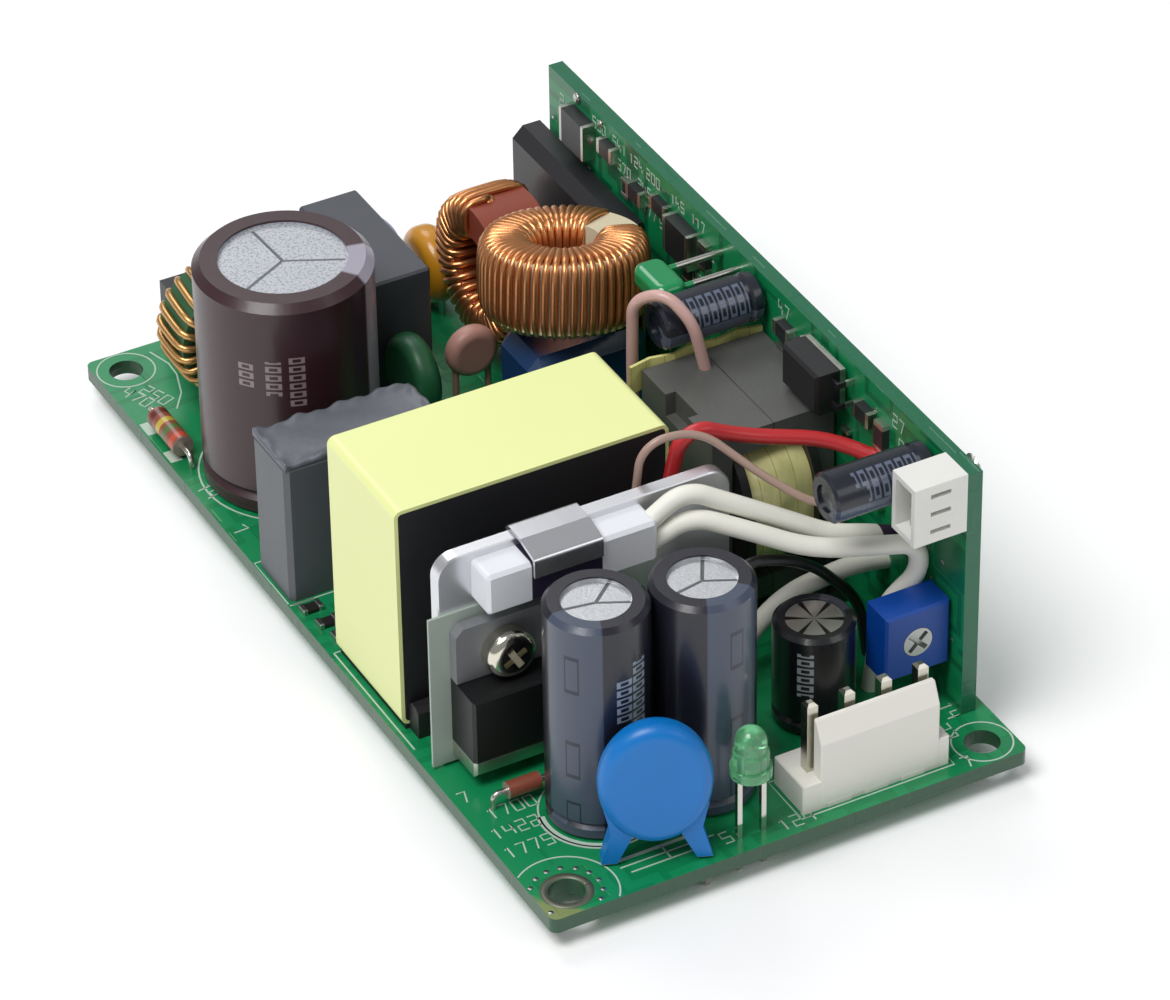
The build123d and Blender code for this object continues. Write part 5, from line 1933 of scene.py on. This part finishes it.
        # Baked powder coat over a ring core: even and matt, in the colour of its grade
        for node, name, code in (
            ("flat_choke_core", "coated_powder_core_cream", "#d8cdb0"),
            ("upright_choke_core", "coated_powder_core_red", "#8a3f2c"),
            ("line_choke_core", "coated_ferrite_core_green", "#2c5d3c"),
        ):
            self.finishes[node] = Finish(name, code, roughness=0.5)
        for node in ("flat_choke_winding", "upright_choke_winding", "line_choke_windings"):
            self.finishes[node] = COPPER
        # Sintered ferrite and a plain moulding: dull black
        self.finishes["pfc_choke_body"] = Finish(
            "sintered_ferrite_block", "#19191d", roughness=0.55
        )
        self.finishes["pfc_choke_base"] = Finish("moulded_black_base", "#1d1d1f", roughness=0.5)
        # Smooth film on a flat block: even pale yellow with a faint sheen
        self.finishes["pfc_choke_tape"] = Finish(
            "pale_yellow_polyester_tape",
            "#e6eca2",
            roughness=0.38,
            coat=0.2,
            grain=1.4,
            shading=0.05,
        )
        for side in ("left", "right"):
            # Ground ferrite: dark grey, matt, with a thin glue line where the halves meet
            self.finishes[f"transformer_core_{side}"] = TwoTone(
                f"ground_ferrite_{side}",
                "#555653",
                roughness=0.42,
                grain=0.25,
                depth=0.02,
                second="#252525",
                start=15.44,
                end=15.56,
            )
        # Moulded bobbin: black and slightly glossy
        self.finishes["transformer_bobbin"] = Finish(
            "moulded_black_bobbin", "#151515", roughness=0.45
        )
        # Glossy film with laps, and folds darkened by painted shade
        self.finishes["transformer_winding"] = Wrapped("tape_over_winding", "#cfc46a")
        self.finishes["transformer_tape"] = Wrapped("loose_polyester_tape", "#d8d98a", depth=0.1)

    def power_stage(self) -> None:
        """Choose the finishes of the heatsink group and the rectifier."""
        self.finishes["heatsink"] = PLATE
        # Rubber on glass cloth: a grey green that takes the light evenly
        self.finishes["insulating_sheet"] = Finish(
            "silicone_glass_sheet", "#a3afa5", roughness=0.5, grain=0.25
        )
        _, high = corner_box("power_transistor")
        tab = BOARD_TOP + 10.3
        # Black moulding below a dull tinned tab
        self.finishes["power_transistor"] = TwoTone(
            "moulded_transistor_and_tab",
            "#101113",
            roughness=0.45,
            second="#77797c",
            axis=Z,
            start=tab,
            end=high[2] + 1,
            leads=(Z, BOARD_TOP + 3.0, -1),
        )
        # Bright plating with a warm tint and sharp reflections
        self.finishes["transistor_screw"] = Finish(
            "zinc_plated_screw", "#dcd8c8", roughness=0.16, metallic=1.0, grain=0.6, shading=0.05
        )
        low, high = corner_box("spring_clip")
        # Glazed white, with a dark band where the clip grips it
        self.finishes["thermal_cutout"] = TwoTone(
            "glazed_white_block",
            "#e0e2e7",
            roughness=0.35,
            shading=0.05,
            patchy=0.03,
            second="#2a2438",
            start=low[0] - 0.1,
            end=high[0] + 0.1,
        )
        # Rolled spring steel: long bright streaks across the clip
        self.finishes["spring_clip"] = Brushed(
            "bright_spring_strip",
            "#e6e6ea",
            roughness=0.2,
            metallic=0.9,
            grain=0.6,
            depth=0.004,
            shading=0.04,
            patchy=0.02,
            drawn=(1.0, 0.1, 0.1),
        )
        # Moulded black body over wide tinned leads
        self.finishes["bridge_rectifier"] = Finish(
            "moulded_rectifier", "#232226", roughness=0.4, leads=(Z, BOARD_TOP + 2.55, -1)
        )

    def small_parts(self) -> None:
        """Choose the finishes of connectors, trimmer, lamp, fuse and resistors."""
        # Small moulded body, black and slightly glossy
        self.finishes["optocoupler"] = Finish(
            "moulded_coupler", "#1a1a1c", roughness=0.42, leads=(X, SIDE_FACE - 0.95, 1)
        )
        # Deep blue moulding, even and half matt
        self.finishes["trimmer_body"] = Finish(
            "moulded_blue_housing", "#00429c", roughness=0.4, leads=(X, SIDE_FACE - 0.25, 1)
        )
        # Dull plated metal, so that the cross slot reads dark
        self.finishes["trimmer_rotor"] = Finish(
            "plated_rotor", "#b9bab8", roughness=0.35, metallic=0.9, grain=0.2
        )
        for node in ("output_header", "fan_header"):
            # Moulded nylon: white and smooth
            self.finishes[node] = Finish(
                f"moulded_white_nylon_{node}", "#e6e6e0", roughness=0.38, coat=0.15, grain=0.5
            )
        # The mains header, dark grey nylon
        self.finishes["ac_input_header"] = Finish("moulded_dark_nylon", "#26262a", roughness=0.42)
        # Drawn square wire: bright and streaked along its length
        self.finishes["header_pins"] = Brushed(
            "tinned_brass_pins", "#cdcabd", roughness=0.24, metallic=1.0, drawn=(1.0, 1.0, 0.1)
        )
        # Dull green dip
        self.finishes["fuse"] = Finish(
            "dipped_fuse_body", "#2f4a34", roughness=0.4, leads=(Z, BOARD_TOP + 0.2, -1)
        )
        _, high = corner_box("status_led")
        # Clear epoxy that lets light through, so that the lead frame shows
        self.finishes["status_led"] = Clear(
            "green_tinted_epoxy",
            "#8fe8ac",
            roughness=0.1,
            leads=(Z, BOARD_TOP + 7.15, -1),
            passing=0.75,
        )
        # Red brown lacquer with colour rings and tinned wires
        self.finishes["axial_resistors"] = Banded(
            "lacquered_resistor",
            "#8a4a37",
            roughness=0.35,
            coat=0.3,
            bands=((35.9, "#5e2118"), (34.3, "#b8a23c"), (32.9, "#4f6b33"), (31.3, "#b5482e")),
            bodies=((1, 33.6, 3.0, 25.0, 45.0), (0, -19.4, 1.7, -45.0, -25.0)),
        )
        # Near black chip bodies between bright ends
        self.finishes["surface_mount_parts"] = Banded(
            "chips_with_tinned_ends",
            "#232427",
            roughness=0.4,
            bodies=(
                (1, 31.0, 2.05, 28.0, 34.0),
                (1, 9.5, 2.05, 6.5, 12.5),
                (1, 25.0, 1.0, 23.0, 27.0),
                (1, 19.0, 1.0, 17.0, 21.0),
                (1, 14.4, 1.1, 12.6, 16.2),
                (2, 27.6, 1.1, 4.4, 6.4),
                (1, -10.4, 1.0, -12.4, -8.4),
                (1, -25.4, 1.0, -27.2, -23.6),
                (2, 27.0, 1.1, -29.4, -27.5),
            ),
        )

    def cords(self) -> None:
        """Choose the finishes of the internal leads."""
        for node in ("cutout_lead_1", "cutout_lead_2", "return_lead"):
            # Silicone rubber sleeve: soft white, and purple insulation past its end
            self.finishes[node] = TwoTone(
                f"silicone_sleeve_{node}",
                "#f1efe4",
                roughness=0.5,
                grain=0.6,
                second="#3a2140",
                start=19.0 if node == "cutout_lead_1" else 90.0,
                end=99.0,
            )
        for node, code in (
            ("red_wire", "#c02a2e"),
            ("tan_wire", "#a98d80"),
            ("pink_wire", "#c9a29b"),
            ("black_wire", "#17171a"),
        ):
            # Extruded insulation: even colour with a slight gloss
            self.finishes[node] = Finish(f"insulation_{node}", code, roughness=0.36, coat=0.2)

    def apply(self) -> None:
        """Give each CAD node its material."""
        made: dict[Finish, bpy.types.Material] = {}
        for name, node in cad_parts.items():
            finish = self.finishes[name]
            if finish not in made:
                made[finish] = finish.make()
            node.data.materials.clear()
            node.data.materials.append(made[finish])
        LOG.info("dressed %d nodes", len(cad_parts))


# Point that the lamps face, in metres
AIM = (0.0, 0.0, 0.01)


@dataclass(frozen=True)
class SoftLamp:
    """A round area lamp that faces the object.

    Attributes:
        place: Its place in metres.
        size: Its diameter in metres.
        power: Its power in watts.
    """

    place: tuple[float, float, float]
    size: float
    power: float

    def build(self, name: str) -> None:
        """Hang the lamp and turn it towards the object.

        Args:
            name: Name of the lamp.
        """
        lamp = bpy.data.lights.new(name, "AREA")
        lamp.shape = "DISK"
        lamp.size = self.size
        lamp.energy = self.power
        holder = bpy.data.objects.new(name, lamp)
        holder.location = self.place
        x, y, z = np.array(AIM) - np.array(self.place)
        tilt = math.acos(-z / math.hypot(x, y, z))
        holder.rotation_euler = (tilt, 0.0, math.atan2(y, x) - math.pi / 2)
        bpy.context.scene.collection.objects.link(holder)


@dataclass
class Studio:
    """Floor, light and the camera of the photograph.

    Attributes:
        place: Camera place in metres.
        turn: Camera rotation in radians.
        lens: Focal length in millimetres on a 36 mm sensor.
        floor: Half the floor's size in metres.
        surround: Strength of the pale surround.
        lamps: The soft lamps.
    """

    place: tuple[float, float, float] = (-0.217478, -0.420423, 0.356729)
    turn: tuple[float, float, float] = (0.937604, 0.013354, -0.497612)
    lens: float = 184.616
    floor: float = 3.0
    surround: float = 0.34
    lamps: tuple[SoftLamp, ...] = (
        SoftLamp((-0.42, -0.14, 0.86), 0.55, 6.9),
        SoftLamp((0.4, -0.55, 0.5), 0.4, 0.5),
        SoftLamp((0.05, 0.6, 0.65), 0.5, 1.9),
    )

    def build_floor(self) -> None:
        """Write the floor."""
        size = self.floor
        mesh = bpy.data.meshes.new("studio_floor")
        corners = [(-size, -size, 0), (size, -size, 0), (size, size, 0), (-size, size, 0)]
        mesh.from_pydata(corners, [], [(0, 1, 2, 3)])
        # Matt white paper: no gloss, so that only the shadow shows on it
        paper = Finish("plain_white_floor", "#fbfbfb", roughness=0.9, shading=0.0)
        mesh.materials.append(paper.make())
        floor = bpy.data.objects.new("studio_floor", mesh)
        bpy.context.scene.collection.objects.link(floor)

    def build_light(self) -> None:
        """Add large soft lamps that face the object, and a pale surround."""
        for number, lamp in enumerate(self.lamps):
            lamp.build(f"soft_lamp_{number}")
        world = bpy.data.worlds.new("pale_surround")
        world.use_nodes = True
        back = world.node_tree.nodes["Background"]
        back.inputs[0].default_value = linear("#f6f8fb")
        back.inputs[1].default_value = self.surround
        bpy.context.scene.world = world

    def build_camera(self) -> None:
        """Place the camera where the photograph was taken from."""
        data = bpy.data.cameras.new("photo_camera")
        data.lens = self.lens
        data.sensor_width = 36.0
        data.clip_start = 0.01
        data.clip_end = 20.0
        camera = bpy.data.objects.new("photo_camera", data)
        camera.location = self.place
        camera.rotation_euler = self.turn
        bpy.context.scene.collection.objects.link(camera)
        bpy.context.scene.camera = camera

    def build(self) -> None:
        """Set up the whole studio."""
        self.build_floor()
        self.build_light()
        self.build_camera()
        bpy.context.scene.view_settings.view_transform = "Standard"


def tilted(x_turn: float, y_turn: float) -> tuple[np.ndarray, np.ndarray]:
    """Turn a level ring about Y and then about X.

    Args:
        x_turn: Degrees about X.
        y_turn: Degrees about Y.

    Returns:
        Direction of its axis, and the direction from which its angles are counted.
    """
    a, b = math.radians(x_turn), math.radians(y_turn)
    about_x = np.array([[1, 0, 0], [0, math.cos(a), -math.sin(a)], [0, math.sin(a), math.cos(a)]])
    about_y = np.array([[math.cos(b), 0, math.sin(b)], [0, 1, 0], [-math.sin(b), 0, math.cos(b)]])
    turn = about_x @ about_y
    return turn[:, 2], turn[:, 0]


def windings() -> list[RingWinding]:
    """List the three wound chokes.

    Returns:
        The windings with the sizes of their CAD parts.
    """
    axis, zero = tilted(-10.6, 5.5)
    flat = RingWinding(
        name="flat_choke_wire",
        centre=(11.3, 14.4, BOARD_TOP + 20.6),
        axis=tuple(axis),
        zero=tuple(zero),
        outer=8.65,
        bore=2.8,
        height=8.8,
        starts=(28.0,),
        turns=48,
        cover=322.0,
        feet=((17.5, 18.6), (18.5, 11.8)),
        node="flat_choke_winding",
    )
    upright = RingWinding(
        name="upright_choke_wire",
        centre=(13.3, 31.8, BOARD_TOP + 10.7),
        axis=(1, 0, 0),
        zero=(0, 0, 1),
        outer=8.3,
        bore=3.4,
        height=8.2,
        starts=(40.0,),
        turns=34,
        cover=315.0,
        feet=((10.8, 31.8), (15.8, 31.8)),
        node="upright_choke_winding",
    )
    line_choke = RingWinding(
        name="line_choke_wire",
        centre=(-14.2, 39.0, BOARD_TOP + 8.5),
        axis=(0, 1, 0),
        zero=(0, 0, 1),
        outer=7.2,
        bore=2.6,
        height=7.0,
        starts=(15.0, 195.0),
        turns=11,
        cover=150.0,
        feet=((-16.5, 36.8), (-16.5, 41.2), (-11.9, 36.8), (-11.9, 41.2)),
        node="line_choke_windings",
        finish=GOLD_COPPER,
    )
    return [flat, upright, line_choke]


def main() -> None:
    """Dress the frame, add the scene's own pieces and set up the studio."""
    logging.basicConfig(level=logging.INFO)
    Dressing().apply()
    for assembly in (
        *windings(),
        TapedCoil(),
        Potting(),
        HeatsinkPlate(),
        FrictionHeader(),
        BoardDetails(),
        LampInside(),
        Studio(),
    ):
        assembly.build()


if __name__ == "__main__":
    main()
